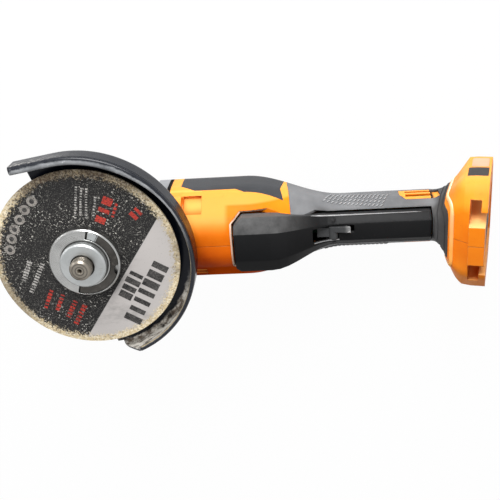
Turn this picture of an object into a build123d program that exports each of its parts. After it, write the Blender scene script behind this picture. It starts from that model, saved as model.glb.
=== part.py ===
from build123d import *
import os
from math import acos, atan2, cos, hypot, pi, radians, sin, tan

# Cordless angle grinder, in millimetres.
# It lies on the flat back of its gear case: +Z runs out along the spindle,
# +X runs along the motor to the battery foot, and +Y is its left side.

# Fits and clearances
press = 0.02
running = 0.05
free_gap = 0.3
trim_gap = 0.1
seat_gap = 0.2

# Heights along the spindle
axis_z = 38.0
case_height = 58.0
plate_flange = 7.0
neck_length = 13.0
shoulder_gap = 1.0
flange_thickness = 5.4
disc_thickness = 1.6
nut_thickness = 6.0
hub_height = 11.0
spindle_free_end = 7.5
plate_z = case_height + plate_flange
neck_top = plate_z + neck_length
flange_z = neck_top + shoulder_gap
seat_z = flange_z + flange_thickness
disc_top = seat_z + disc_thickness
hub_top = disc_top + hub_height
spindle_tip = hub_top + spindle_free_end

# Bevel gears
gear_module = 1.2
ring_teeth = 36
pinion_teeth = 12
tooth_width = 7.0
tooth_backlash = 0.3
pressure_angle = radians(20)
ring_addendum = 0.7
pinion_addendum = 1.2
tooth_root_gap = 0.3
ring_pitch = gear_module * ring_teeth / 2
pinion_pitch = gear_module * pinion_teeth / 2
cone_length = hypot(ring_pitch, pinion_pitch)
inner_share = 1 - tooth_width / cone_length
pinion_cone = atan2(pinion_pitch, ring_pitch)
ring_cone = pi / 2 - pinion_cone

# Spindle and its bearings
journal_r = 4.0
gear_seat_r = 5.9
bearing_seat_r = 6.0
shoulder_r = 9.5
thread_r = 7.0
thread_chamfer = 1.2
thread_relief = 0.4
centre_hole_r = 1.6
needle_r = 7.0
needle_length = 11.0
needle_z = 10.0
spindle_bearing_r = 16.0
spindle_bearing_width = 10.0
spindle_bearing_z = case_height + 2.0
seal_r = 13.0
seal_width = 3.0
seal_z = neck_top - 5.0
clip_r = 8.2
clip_thickness = 1.2
gear_hub_r = 8.6
gear_hub_z = axis_z + 6.0
gear_web_z = axis_z + 8.5
gear_back_z = axis_z + 15.0
gear_rim = 0.7
lock_hole_r = 2.1
lock_circle_r = 11.2
lock_holes = 8

# Gear case
barrel_r = 28.5
barrel_round = 5.0
chamber_r = 24.0
chamber_z = 24.0
ear_r = 5.0
ear_circle_r = 27.0
ear_depth = 26.0
flange_front_x = 44.0
flange_back_x = 52.0
pinion_tunnel_r = 10.0
pinion_bearing_r = 13.0
pinion_bearing_width = 8.0
handle_boss_r = 9.0
handle_boss_reach = 36.0
handle_boss_x = 4.0
handle_boss_z = 32.0
handle_hole_r = 3.4
handle_hole_depth = 10.5
case_neck_start = 6.0
case_neck_half = 25.0
neck_r = 21.5
plate_screw_r = 1.8
plate_screw_head_r = 3.0
plate_screw_head = 2.4
plate_screw_length = 14.0

# Spindle lock
lock_button_r = 5.0
lock_button_height = 5.0
lock_button_z = 1.0
lock_pin_r = 1.9
lock_reach = 1.0
lock_recess = 10.5
lock_spring_bore_r = 3.5
lock_spring_top = 20.0
lock_spring_wire_r = 0.4
lock_spring_r = 2.75
lock_clip_r = 3.2
lock_clip = 0.8

# Disc, clamping nut and its bail
inner_flange_r = 21.0
pilot_r = 11.05
pilot_height = 1.2
disc_r = 62.5
disc_bore_r = 11.115
nut_r = 23.7
hub_r = 15.4
hub_lift = 0.2
hub_chamfer = 1.0
bail_inner_r = 17.3
bail_outer_r = 22.3
bail_half = 1.3
bail_top_gap = 0.2
bail_angle = 75.0
bail_pin_r = 0.8
channel_gap = 0.3

# Guard
guard_r = 73.5
guard_sheet = 1.5
guard_overhang = 8.0
guard_bend = 5.0
lip_reach = 3.0
guard_from = -78.0
guard_to = 99.0
guard_runout = 27.0
guard_chord = 11.4
guard_chord_angle = 18.2
guard_slant = 13.0
band_wall = 2.4
band_length = 9.5
band_bulge = 8.0
lever_angle = 112.0
lever_circle_r = 33.0
lever_length = 24.0
lever_width = 8.0
lever_thickness = 2.6
lever_pin_r = 2.0

# Motor
shaft_nose_x = 15.5
shaft_nose_r = 3.0
shaft_front_r = 5.0
shaft_r = 4.0
shaft_tail_r = 3.5
pinion_hub_end = 30.0
baffle = 2.5
fan_x = 57.0
fan_width = 10.0
fan_r = 26.5
fan_plate = 1.6
fan_hub_r = 8.0
fan_blades = 11
fan_blade = 1.4
stator_x = 84.0
stator_length = 34.0
stator_r = 24.5
stator_yoke = 4.5
stator_slots = 6
rotor_r = 13.5
air_gap = 0.7
tooth_neck = 6.0
tooth_shoe = 1.8
coil_side = 2.2
coil_overhang = 3.5
rear_bearing_x = 127.0
rear_bearing_width = 6.0
rear_bearing_r = 9.5

# Moulded housing
housing_wall = 3.0
fan_chamber_r = 29.0
fan_chamber_end = 72.0
tunnel_wall = 1.7
tunnel_end = 124.0
bulkhead_end = 136.0
taper_start = 106.0
taper_end = 170.0
collar_x = 231.0
foot_x = 256.5
foot_tilt = 14.0
foot_depth = 15.0
motor_flat = 13.0
motor_half_height = 36.0
motor_half_width = 33.0
motor_side = 14.0
motor_round = 20.0
grip_flat = 7.0
grip_half_height = 20.0
grip_half_width = 17.8
grip_side_under = 3.0
grip_side_back = 9.0
grip_round = 9.0
boss_under = 25.0
boss_under_r = 7.0
boss_back_y = 19.5
boss_back_h = 27.0
boss_back_r = 5.5
boss_end = 64.0
hollow_x = 79.0
notch_end = 76.4
notch_half = 7.0
notch_floor = 31.0
notch_turn = 47.7
case_screw_r = 1.9
case_screw_head_r = 3.4
case_screw_head = 3.0
case_screw_length = 20.0
housing_screw_r = 1.5
housing_screw_head_r = 2.9
housing_screw_head = 2.2
housing_screw_seat = 8.0
housing_screw_grip = 9.0
housing_boss_r = 4.0
rib = 2.0

# Overlays on the housing
panel_depth = 1.2
panel_setback = 7.0
panel_end_gap = 2.0
panel_lean = 3.0
panel_corner = 8.0
panel_cut = 10.0
panel_step = 3.0
panel_step_x = 24.0
panel_step_run = 6.0
grip_depth = 1.5
grip_front_x = 131.0
grip_front_slant = 5.0
collar_lap = 6.5
collar_slant = 13.0
vent_x = 210.0
vent_length = 27.0
vent_low = 33.0
vent_high = 44.0
vent_slot = 2.4
vent_corner = 4.0
pad_start = 0.8
pad_end = 13.6
pad_low = 10.0
pad_high = 26.5
pad_depth = 1.5

# Battery foot, in its own tilted frame: depth from its front plane, across, and length from the motor axis
foot_half_width = 38.0
foot_flat = 23.0
foot_low = -39.1
foot_high = 50.0
foot_front_high = 46.5
foot_front_half = 37.5
foot_side_high = 34.0
foot_side_low = -14.0
foot_round = 10.0
foot_swell = 6.0
bay_depth = 11.0
bay_half = 28.0
bay_low = -30.0
tongue_half = 13.0
tongue_high = 54.0
tongue_low = 30.0
tongue_short = 1.0
ledge = 6.5
ledge_depth = 4.0
terminal_half = 9.5
terminal_low = -14.0
terminal_high = 34.0
terminal_depth = 9.0
contact_pitch = 4.8
contact_thickness = 0.8
contact_slot = 1.8
contact_count = 4

# Paddle, its hinge and its lock lever
paddle_x = 98.0
paddle_end = 229.5
paddle_travel = 2.0
paddle_gap = 0.6
paddle_side_gap = 1.6
paddle_front_gap = 2.8
paddle_corner = 5.4
paddle_low_corner = 3.0
corner_gap = 1.2
corner_wall = 2.8
paddle_wall = 2.0
bulge_half = 19.4
bulge_side = 35.8
bulge_crown = 40.8
bulge_flat = 9.5
bulge_edge = 28.0
bar_half = 10.6
bar_side = 16.4
bar_crown = 21.0
bar_flat = 6.0
bar_edge = 9.5
bulge_end = 122.0
edge_end = 134.0
bar_start = 166.0
hinge_x = 225.0
hinge_h = 6.5
hinge_pin_r = 2.0
hinge_pin_half = 11.5
knuckle_r = 4.2
knuckle_half = 7.0
paddle_spring_x = 130.0
paddle_spring_r = 4.0
paddle_spring_wire_r = 0.6
spring_turns = 4
coil_runs = 10
lever_slot_x = 150.0
lever_slot_end = 178.0
lever_slot_half = 4.9
lock_lever_half = 4.4
lever_neck = 167.5
tongue_side = 0.6
lock_pivot_x = 164.0
lock_pivot_h = 19.0
lock_lever_pin_r = 1.2
lock_lever_hub_r = 3.4

# Inside the grip
module_x = 146.0
module_length = 30.0
module_half = 10.0
module_low = -12.0
module_height = 9.0
module_fins = 6
fin_pitch = 5.0
fin_height = 3.0
board_thickness = 1.6
switch_x = 190.0
switch_length = 20.0
switch_half = 5.0
switch_low = -4.0
switch_height = 13.0
plunger_r = 2.0
plunger_height = 3.4


def drum(radius, z0, z1, x=0, y=0):
    return Pos(x, y, z0) * Cylinder(radius, z1 - z0, align=(Align.CENTER, Align.CENTER, Align.MIN))


def drum_x(radius, x0, x1, y=0, h=0):
    rod = Cylinder(radius, x1 - x0, align=(Align.CENTER, Align.CENTER, Align.MIN))
    return Pos(x0, y, axis_z + h) * Rot(0, 90, 0) * rod


def drum_y(radius, y0, y1, x, z):
    rod = Cylinder(radius, y1 - y0, align=(Align.CENTER, Align.CENTER, Align.MIN))
    return Pos(x, y0, z) * Rot(-90, 0, 0) * rod


def block(x0, x1, y0, y1, z0, z1):
    body = Box(x1 - x0, y1 - y0, z1 - z0, align=(Align.MIN, Align.MIN, Align.MIN))
    return Pos(x0, y0, z0) * body


def ring(inner_r, outer_r, z0, z1):
    return drum(outer_r, z0, z1) - drum(inner_r, z0 - 1, z1 + 1)


def ring_x(inner_r, outer_r, x0, x1):
    return drum_x(outer_r, x0, x1) - drum_x(inner_r, x0 - 1, x1 + 1)


def turned(points):
    return revolve(make_face(Plane.XZ * Polyline(*points, close=True)), Axis.Z)


def around(shape, count, start=0):
    return [Rot(0, 0, start + 360 * i / count) * shape for i in range(count)]


def around_x(shape, count, start=0):
    turn = Pos(0, 0, axis_z)
    return [turn * Rot(start + 360 * i / count, 0, 0) * turn.inverse() * shape for i in range(count)]


def mirrored(shape):
    return mirror(shape, about=Plane.XZ)


def smooth(t):
    t = max(0, min(1, t))
    return t * t * (3 - 2 * t)


def between(first, last, share):
    return first + (last - first) * share


# Half sections of the moulded body, drawn square to the motor axis

def cross_plane(x):
    return Plane(origin=(x, 0, axis_z), x_dir=(0, 1, 0), z_dir=(1, 0, 0))


def inset_points(points, inset):
    lines = []
    for (y0, h0), (y1, h1) in zip(points, points[1:]):
        length = hypot(y1 - y0, h1 - h0)
        across, up = (h0 - h1) / length, (y1 - y0) / length
        lines.append((across, up, across * y0 + up * h0 + inset))
    lines = [(1, 0, 0)] + lines + [(1, 0, 0)]
    corners = []
    for (a0, b0, c0), (a1, b1, c1) in zip(lines, lines[1:]):
        det = a0 * b1 - a1 * b0
        corners.append(((c0 * b1 - c1 * b0) / det, (a0 * c1 - a1 * c0) / det))
    return corners


def half_section(x, points, radius, inset=0):
    outline = Polygon(*inset_points(points, inset), align=None)
    corners = [v for v in outline.vertices() if v.X > 1]
    return cross_plane(x) * fillet(corners, radius - inset)


def half_octagon(flat, under, width, side_under, side_back, back):
    points = [(0, -back), (flat, -back), (width, -side_back), (width, side_under), (flat, under), (0, under)]
    return points


def body_section(x, inset=0):
    share = smooth((x - taper_start) / (taper_end - taper_start))
    points = half_octagon(
        between(motor_flat, grip_flat, share),
        between(motor_half_height, grip_half_height, share),
        between(motor_half_width, grip_half_width, share),
        between(motor_side, grip_side_under, share),
        between(motor_side, grip_side_back, share),
        between(motor_half_height, grip_half_height, share),
    )
    return half_section(x, points, between(motor_round, grip_round, share), inset)


flare_x = [collar_x, 238.0, 246.5, foot_x]
flare_tilt = [0, 7.0, 14.0, foot_tilt]
flare_width = [grip_half_width, 18.2, 26.0, foot_front_half]
flare_under = [grip_half_height, 30.0, 37.5, foot_front_high]
flare_back = [grip_half_height, 22.0, 32.0, -foot_low]
flare_side_back = [grip_side_back, 7.0, 2.0, -foot_side_low]
flare_share = [0, 0.15, 0.6, 1]


def tilted(x, tilt):
    return Pos(x, 0, axis_z) * Rot(0, -tilt, 0) * Pos(-x, 0, -axis_z)


def flare_section(step, inset=0):
    share = flare_share[step]
    points = half_octagon(
        between(grip_flat, foot_flat, share),
        flare_under[step],
        flare_width[step],
        between(grip_side_under, foot_side_high, share),
        flare_side_back[step],
        flare_back[step],
    )
    face = half_section(flare_x[step], points, between(grip_round, foot_round, share), inset)
    return tilted(flare_x[step], flare_tilt[step]) * face


def foot_section(depth, inset=0):
    points = half_octagon(foot_flat, foot_high, foot_half_width, foot_side_high, -foot_side_low, -foot_low)
    return tilted(foot_x, foot_tilt) * half_section(foot_x + depth, points, foot_round, inset)


taper_steps = 3
taper_stations = [between(taper_start, taper_end, i / taper_steps) for i in range(taper_steps + 1)]
housing_front = flange_back_x + baffle


def motor_piece(inset=0, start=housing_front):
    return extrude(body_section(start, inset), taper_start - start)


def taper_piece(inset=0):
    return loft([body_section(x, inset) for x in taper_stations])


def grip_piece(inset=0):
    return extrude(body_section(taper_end, inset), collar_x - taper_end)


def flare_piece(inset=0):
    return loft([flare_section(step, inset) for step in range(len(flare_x))])


def rim_piece(inset=0):
    swell = loft([flare_section(len(flare_x) - 1, inset), foot_section(foot_swell, inset)], ruled=True)
    return swell + extrude(foot_section(foot_swell, inset), foot_depth - foot_swell)


def foot_block(d0, d1, y0, y1, w0, w1):
    return tilted(foot_x, foot_tilt) * block(foot_x + d0, foot_x + d1, y0, y1, axis_z + w0, axis_z + w1)


def fused(pieces):
    whole = pieces[0]
    for piece in pieces[1:]:
        whole = whole + piece
    return whole


# Sections of the paddle

def paddle_share(x):
    return smooth((x - bulge_end) / (bar_start - bulge_end))


def paddle_edge(x):
    return between(bulge_edge, bar_edge, smooth((x - edge_end) / (bar_start - edge_end)))


def paddle_crown(x):
    return between(bulge_crown, bar_crown, paddle_share(x))


def paddle_drop(x):
    return radians(paddle_travel) * (hinge_x - x)


def paddle_section(x, shrink=0, reach=0):
    share = paddle_share(x)
    half = between(bulge_half, bar_half, share) - shrink
    side = between(bulge_side, bar_side, share) - shrink
    crown = paddle_crown(x) - shrink
    flat = between(bulge_flat, bar_flat, share)
    edge = paddle_edge(x) - reach
    points = [(half, side), (flat, crown), (-flat, crown), (-half, side), (-half, edge), (half, edge)]
    return cross_plane(x) * Polygon(*points, align=None)


def paddle_room(x):
    half = between(bulge_half, bar_half, paddle_share(x)) + paddle_side_gap
    low = paddle_edge(x) - max(0, paddle_drop(x)) - paddle_gap
    top = 2 * axis_z
    points = [(half, low), (half, top), (-half, top), (-half, low)]
    return cross_plane(x) * Polygon(*points, align=None)


paddle_steps = 8
sweep_stations = [between(bulge_end, bar_start, i / paddle_steps) for i in range(paddle_steps + 1)]


def front_corner(x, half, size):
    past = 2
    points = [(x - past, half - size - past), (x + size + past, half + past), (x - past, half + past)]
    return Pos(0, 0, axis_z) * extrude(make_face(Polyline(*points, close=True)), axis_z)


def front_corners(x, half, more):
    left = front_corner(x, half, paddle_corner + more)
    right = front_corner(x, half, paddle_low_corner + more)
    return [left, mirrored(right)]


# Gear teeth on the back cone

def involute(angle):
    return tan(angle) - angle


def tooth_outline(teeth, cone, addendum, dedendum):
    count = teeth / cos(cone)
    pitch = gear_module * count / 2
    base = pitch * cos(pressure_angle)
    heights = [-dedendum - 0.5, 0, addendum]
    flank = []
    for height in heights:
        radius = pitch + height
        angle = acos(min(1, base / radius))
        turn = pi / (2 * count) + involute(pressure_angle) - involute(angle)
        flank.append((radius * turn - tooth_backlash / 4, height))
    return flank + [(-across, height) for across, height in reversed(flank)]


def bevel_tooth(outline, along, outward):
    apex = Vector(0, 0, axis_z)
    wires = []
    for share in (1, inner_share):
        places = []
        for across, height in outline:
            place = along * cone_length + outward * height + Vector(0, across, 0)
            places.append(apex + place * share)
        wires.append(make_face(Polyline(*places, close=True)))
    return loft(wires, ruled=True)


def cone_point(height, share):
    along = cone_length * cos(ring_cone) - height * sin(ring_cone)
    radius = cone_length * sin(ring_cone) + height * cos(ring_cone)
    return radius * share, axis_z + along * share


# Pieces on the spindle

def make_spindle():
    points = [(0, needle_z - 1), (journal_r, needle_z - 1), (journal_r, needle_z + needle_length + 1)]
    seat_start = spindle_bearing_z - free_gap
    points += [(gear_seat_r, needle_z + needle_length + 1), (gear_seat_r, seat_start)]
    points += [(bearing_seat_r, seat_start), (bearing_seat_r, neck_top - 6), (shoulder_r, neck_top - 6)]
    relief_r = thread_r - thread_relief
    points += [(shoulder_r, flange_z), (thread_r, flange_z), (thread_r, hub_top - hub_chamfer)]
    points += [(relief_r, hub_top - hub_chamfer), (relief_r, hub_top), (thread_r, hub_top)]
    points += [(thread_r, spindle_tip - thread_chamfer)]
    points += [(thread_r - thread_chamfer, spindle_tip), (0, spindle_tip)]
    centre_hole = Pos(0, 0, spindle_tip) * Cone(0.2, 2 * centre_hole_r, 2 * centre_hole_r + 2)
    return turned(points) - centre_hole


def make_ring_gear():
    dedendum = pinion_addendum + tooth_root_gap
    inner_r, inner_z = cone_point(-dedendum, inner_share)
    outer_r, outer_z = cone_point(-dedendum, 1)
    bore = gear_seat_r + press
    hub_back = spindle_bearing_z - free_gap
    rim_r = inner_r - gear_rim
    points = [(bore, gear_hub_z), (gear_hub_r, gear_hub_z), (gear_hub_r, gear_web_z), (rim_r, gear_web_z)]
    points += [(rim_r, inner_z), (inner_r, inner_z), (outer_r, outer_z), (outer_r, gear_back_z)]
    points += [(gear_hub_r, gear_back_z)]
    points += [(gear_hub_r, hub_back), (bore, hub_back)]
    along = Vector(sin(ring_cone), 0, cos(ring_cone))
    outward = Vector(cos(ring_cone), 0, -sin(ring_cone))
    outline = tooth_outline(ring_teeth, ring_cone, ring_addendum, dedendum)
    gear = turned(points) + around(bevel_tooth(outline, along, outward), ring_teeth)
    hole = drum(lock_hole_r, gear_web_z - 1, gear_back_z + 1, -lock_circle_r)
    return gear - around(hole, lock_holes)


def make_pinion():
    dedendum = ring_addendum + tooth_root_gap
    along = Vector(cos(pinion_cone), 0, sin(pinion_cone))
    outward = Vector(-sin(pinion_cone), 0, cos(pinion_cone))
    outline = tooth_outline(pinion_teeth, pinion_cone, pinion_addendum, dedendum)
    root_r = pinion_pitch - dedendum * cos(pinion_cone)
    root_x = ring_pitch + dedendum * sin(pinion_cone)
    points = [(0, root_x * inner_share), (root_r * inner_share, root_x * inner_share), (root_r, root_x)]
    points += [(root_r, pinion_hub_end), (0, pinion_hub_end)]
    blank = Pos(0, 0, axis_z) * Rot(0, 90, 0) * turned(points)
    teeth = around_x(bevel_tooth(outline, along, outward), pinion_teeth, 180 / pinion_teeth)
    return blank + teeth - drum_x(shaft_nose_r + press, 0, pinion_hub_end + 1)


def make_disc():
    return ring(disc_bore_r, disc_r, seat_z, disc_top)


def make_inner_flange():
    relief = inner_flange_r - 4
    flange = drum(inner_flange_r, flange_z, seat_z) + drum(pilot_r, seat_z, seat_z + pilot_height)
    flange = flange - ring(pilot_r, relief, seat_z - 0.6, seat_z + 1)
    return flange - drum(thread_r + running, flange_z - 1, disc_top)


bail_z = disc_top + nut_thickness - bail_top_gap - bail_half


def half_ring(inner_r, outer_r, z0, z1, past):
    side = block(-past, outer_r + 1, -outer_r - 1, outer_r + 1, z0 - 1, z1 + 1)
    return Rot(0, 0, bail_angle - 90) * (ring(inner_r, outer_r, z0, z1) & side)


def make_nut_flange():
    floor = bail_z - bail_half - channel_gap
    past = bail_half + channel_gap
    top = disc_top + nut_thickness
    channel = half_ring(bail_inner_r - channel_gap, bail_outer_r + channel_gap, floor, top + 1, past)
    flange = ring(hub_r + running, nut_r, disc_top, top)
    rim = flange.edges().group_by(Axis.Z)[-1].sort_by(SortBy.RADIUS)[-1]
    flange = chamfer(rim, 0.8) - channel
    return flange - bail_axis(bail_pin_r + press, hub_r, nut_r)


def bail_axis(radius, r0, r1):
    pins = [drum_y(radius, r0, r1, 0, bail_z), drum_y(radius, -r1, -r0, 0, bail_z)]
    return [Rot(0, 0, bail_angle - 90) * pin for pin in pins]


def make_nut_hub():
    hub = ring(thread_r + running, hub_r, disc_top + hub_lift, hub_top)
    rims = hub.edges().group_by(Axis.Z)[-1]
    return chamfer(rims, hub_chamfer)


def make_bail():
    bow = half_ring(bail_inner_r, bail_outer_r, bail_z - bail_half, bail_z + bail_half, 0)
    bow = bow + bail_axis(bail_half, bail_inner_r, bail_outer_r)
    finger = drum(4.2, bail_z - bail_half - 1, bail_z + bail_half + 1, bail_outer_r + 1.6)
    bow = bow - Rot(0, 0, bail_angle - 90) * finger
    return bow - bail_axis(bail_pin_r + running, hub_r, nut_r)


def make_bail_pins():
    return Compound(children=bail_axis(bail_pin_r, hub_r + 0.3, nut_r - 0.1))


def make_spindle_bearing():
    top = spindle_bearing_z + spindle_bearing_width
    return ring(bearing_seat_r + running, spindle_bearing_r, spindle_bearing_z, top)


# Gear case and what it holds

def housing_bosses(x0, x1):
    spots = [(boss_under, boss_under, boss_under_r), (boss_back_y, -boss_back_h, boss_back_r)]
    return [drum_x(r, x0, x1, s * y, h) for y, h, r in spots for s in (1, -1)]


def case_screw_spots():
    return [(s * y, h) for y, h in ((boss_under, boss_under), (boss_back_y, -boss_back_h)) for s in (1, -1)]


def flange_slab(x0, x1):
    slab = extrude(body_section(x0), x1 - x0)
    return fused([slab, mirrored(slab)] + housing_bosses(x0, x1))


def plate_outline(z0, z1, extra=0):
    ears = around(drum(ear_r + extra, z0, z1, ear_circle_r), 4, 45)
    return fused([drum(barrel_r - 0.5 + extra, z0, z1)] + ears)


def make_gear_case():
    barrel = drum(barrel_r, 0, case_height)
    foot_edge = barrel.edges().group_by(Axis.Z)[0]
    barrel = fillet(foot_edge, barrel_round)
    low = barrel_round - axis_z
    top = case_height - axis_z - 2
    start = half_octagon(case_neck_half - 8, top, case_neck_half, top - 10, -low - 10, -low)
    neck = loft([half_section(case_neck_start, start, 4), body_section(flange_front_x, 2)], ruled=True)
    case = fused([barrel, neck, mirrored(neck), flange_slab(flange_front_x, flange_back_x)])
    case = case + around(drum(ear_r, case_height - ear_depth, case_height, ear_circle_r), 4, 45)
    for side in (1, -1):
        reach = sorted((side * (chamber_r - 4), side * handle_boss_reach))
        case = case + drum_y(handle_boss_r, *reach, handle_boss_x, handle_boss_z)
    case = case - plate_outline(case_height, case_height + axis_z, free_gap)
    case = case - drum(chamber_r, chamber_z, case_height + 1)
    case = case - drum(needle_r + press, needle_z, chamber_z + 1)
    case = case - drum(journal_r + 1, needle_z - 2, needle_z + 1)
    case = case - drum_x(pinion_tunnel_r, 0, flange_back_x)
    case = case - drum_x(pinion_bearing_r + press, flange_back_x - pinion_bearing_width, flange_back_x + 1)
    for side in (1, -1):
        reach = sorted((side * (handle_boss_reach - handle_hole_depth), side * (handle_boss_reach + 1)))
        case = case - drum_y(handle_hole_r, *reach, handle_boss_x, handle_boss_z)
    case = case - drum(lock_button_r + free_gap, -1, lock_recess, -lock_circle_r)
    case = case - drum(lock_spring_bore_r, 0, lock_spring_top, -lock_circle_r)
    case = case - drum(lock_pin_r + running, 0, chamber_z + 1, -lock_circle_r)
    screw = drum(plate_screw_r + press, case_height - plate_screw_length, case_height + 1, ear_circle_r)
    case = case - around(screw, 4, 45)
    for y, h in case_screw_spots():
        case = case - drum_x(case_screw_r + free_gap, flange_front_x - 1, flange_back_x + 1, y, h)
        case = case - drum_x(case_screw_head_r + free_gap, 0, flange_front_x, y, h)
    return case


def make_bearing_plate():
    plate = plate_outline(case_height, plate_z) + drum(neck_r, plate_z, neck_top)
    bearing_top = spindle_bearing_z + spindle_bearing_width
    plate = plate - drum(spindle_bearing_r + press, case_height - 1, bearing_top)
    plate = plate - drum(shoulder_r + 1, case_height, neck_top + 1)
    plate = plate - drum(seal_r + press, seal_z, neck_top + 1)
    screw = drum(plate_screw_r + free_gap, case_height - 1, plate_z + 1, ear_circle_r)
    head = drum(plate_screw_head_r + free_gap, plate_z - plate_screw_head, plate_z + 1, ear_circle_r)
    return plate - around(screw, 4, 45) - around(head, 4, 45)


def make_plate_screws():
    head_z = plate_z - plate_screw_head
    screw = drum(plate_screw_r, case_height - plate_screw_length + 1, head_z, ear_circle_r)
    head = drum(plate_screw_head_r, head_z, plate_z, ear_circle_r)
    socket = drum(plate_screw_head_r / 2, plate_z - plate_screw_head / 2, plate_z + 1, ear_circle_r)
    return Compound(children=around(screw + head - socket, 4, 45))


def make_case_screws():
    screws = []
    for y, h in case_screw_spots():
        head = drum_x(case_screw_head_r, flange_front_x - case_screw_head, flange_front_x, y, h)
        shank = drum_x(case_screw_r, flange_front_x, flange_front_x + case_screw_length, y, h)
        socket = drum_x(case_screw_head_r / 2, 0, flange_front_x - case_screw_head / 2, y, h)
        screws.append(head + shank - socket)
    return Compound(children=screws)


def make_baffle():
    slab = flange_slab(flange_back_x, housing_front)
    slab = slab - drum_x(shaft_front_r + 1, 0, housing_front + 1)
    for y, h in case_screw_spots():
        slab = slab - drum_x(case_screw_r + free_gap, flange_back_x - 1, housing_front + 1, y, h)
    return slab


def make_lock_button():
    button = drum(lock_button_r, lock_button_z, lock_button_z + lock_button_height, -lock_circle_r)
    button = chamfer(button.edges().group_by(Axis.Z)[0], 0.8)
    tip = gear_web_z - lock_reach
    pin = drum(lock_pin_r, lock_button_z, tip, -lock_circle_r)
    clip = drum(lock_clip_r, chamber_z + free_gap, chamber_z + free_gap + lock_clip, -lock_circle_r)
    return button + pin + clip


def coil(radius, wire_r, z0, z1, turns, x):
    low = z0 + wire_r
    rise = z1 - z0 - 2 * wire_r
    places = []
    for i in range(turns * coil_runs + 1):
        turn = 2 * pi * i / coil_runs
        places.append((x + radius * cos(turn), radius * sin(turn), low + rise * i / (turns * coil_runs)))
    path = Polyline(*places)
    wire = Plane(origin=path @ 0, x_dir=(1, 0, 0), z_dir=path % 0) * Rectangle(2 * wire_r, 2 * wire_r)
    return sweep(wire, path, transition=Transition.RIGHT)


def make_lock_spring():
    low = lock_button_z + lock_button_height
    high = lock_spring_top - running
    return coil(lock_spring_r, lock_spring_wire_r, low + running, high, 5, -lock_circle_r)


# Guard

def sector(r, z0, z1, first, last):
    corner = 2 * r
    steps = [first, between(first, last, 1 / 3), between(first, last, 2 / 3), last]
    points = [(0, 0)] + [(corner * cos(radians(a)), corner * sin(radians(a))) for a in steps]
    return Pos(0, 0, z0) * extrude(make_face(Polyline(*points, close=True)), z1 - z0)


def make_guard():
    low = neck_top - guard_sheet
    rim = disc_top + guard_overhang
    inner = guard_r - guard_sheet
    lip = guard_r - lip_reach
    span = 2 * guard_r
    hole = neck_r + free_gap + band_wall + press
    bend = guard_bend
    with BuildSketch(Plane.XZ) as profile:
        with BuildLine():
            Polyline((hole, low), (guard_r - bend, low))
            TangentArc((guard_r - bend, low), (guard_r, low + bend), tangent=(1, 0))
            Polyline((guard_r, low + bend), (guard_r, rim - guard_sheet))
            TangentArc((guard_r, rim - guard_sheet), (inner, rim), tangent=(0, 1))
            Polyline((inner, rim), (lip, rim), (lip, rim - guard_sheet))
            Polyline((lip, rim - guard_sheet), (inner, rim - guard_sheet), (inner, low + bend))
            TangentArc((inner, low + bend), (guard_r - bend, neck_top), tangent=(0, -1))
            Polyline((guard_r - bend, neck_top), (hole, neck_top), (hole, low))
        make_face()
    shell = revolve(profile.sketch, Axis.Z)
    wall = shell & sector(guard_r, low - 1, rim + 1, guard_from, guard_to)
    chord = Rot(0, 0, guard_chord_angle) * block(-guard_chord, span, -span, span, low - 1, neck_top)
    bulge = ring(hole, hole + band_bulge, low, neck_top)
    flat = (shell & chord & drum(guard_r - bend, low - 1, neck_top)) + bulge
    outside = ring(guard_r - bend, span, low - 1, rim + 1)
    turn = Rot(0, 0, guard_to)
    straight = turn * extrude(profile.sketch, guard_runout, dir=(0, 1, 0))
    edge = guard_r - bend
    side = straight & (turn * block(edge, span, 0, span, low - 1, rim + 1))
    web = straight & (turn * block(edge - 2 * bend, edge, 0, span, low - 1, neck_top)) & chord
    guard = flat + (wall & outside) + side + web
    foot = radians(guard_from)
    run = guard_r * radians(guard_slant)
    with BuildSketch(Plane.XZ) as slant:
        with BuildLine():
            Polyline((-run, neck_top), (0, neck_top), (run, rim + 2), (-run, rim + 2), close=True)
        make_face()
    wedge = extrude(slant.sketch, guard_r, both=True)
    place = Pos(guard_r * cos(foot), guard_r * sin(foot), 0) * Rot(0, 0, guard_from + 90)
    guard = guard - place * wedge
    return guard - lever_place() * drum(lever_pin_r + press, low - 1, neck_top + 1)


def lever_place():
    turn = radians(lever_angle)
    return Pos(lever_circle_r * cos(turn), lever_circle_r * sin(turn), 0) * Rot(0, 0, lever_angle + 100)


lever_top = neck_top - guard_sheet - free_gap


def make_guard_lever():
    low = lever_top - lever_thickness
    arm = SlotCenterToCenter(lever_length, lever_width)
    arm = Pos(lever_length / 2, 0, low) * extrude(arm, lever_thickness)
    return lever_place() * (arm - drum(lever_pin_r + running, low - 1, lever_top + 1))


def make_guard_lever_pin():
    low = lever_top - lever_thickness
    pin = drum(lever_pin_r, low, neck_top) + drum(lever_pin_r + 1.2, low - 1, low - running)
    return lever_place() * (pin + drum(lever_pin_r, low - 1, low))


def make_guard_band():
    inner = neck_r + free_gap
    return ring(inner, inner + band_wall, neck_top - guard_sheet - band_length, neck_top)


# Motor

def make_shaft():
    shaft = drum_x(shaft_nose_r, shaft_nose_x, pinion_hub_end)
    shaft = shaft + drum_x(shaft_front_r, pinion_hub_end, housing_front)
    shaft = shaft + drum_x(shaft_r, housing_front, rear_bearing_x - 1)
    return shaft + drum_x(shaft_tail_r, rear_bearing_x - 1, rear_bearing_x + rear_bearing_width)


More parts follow.
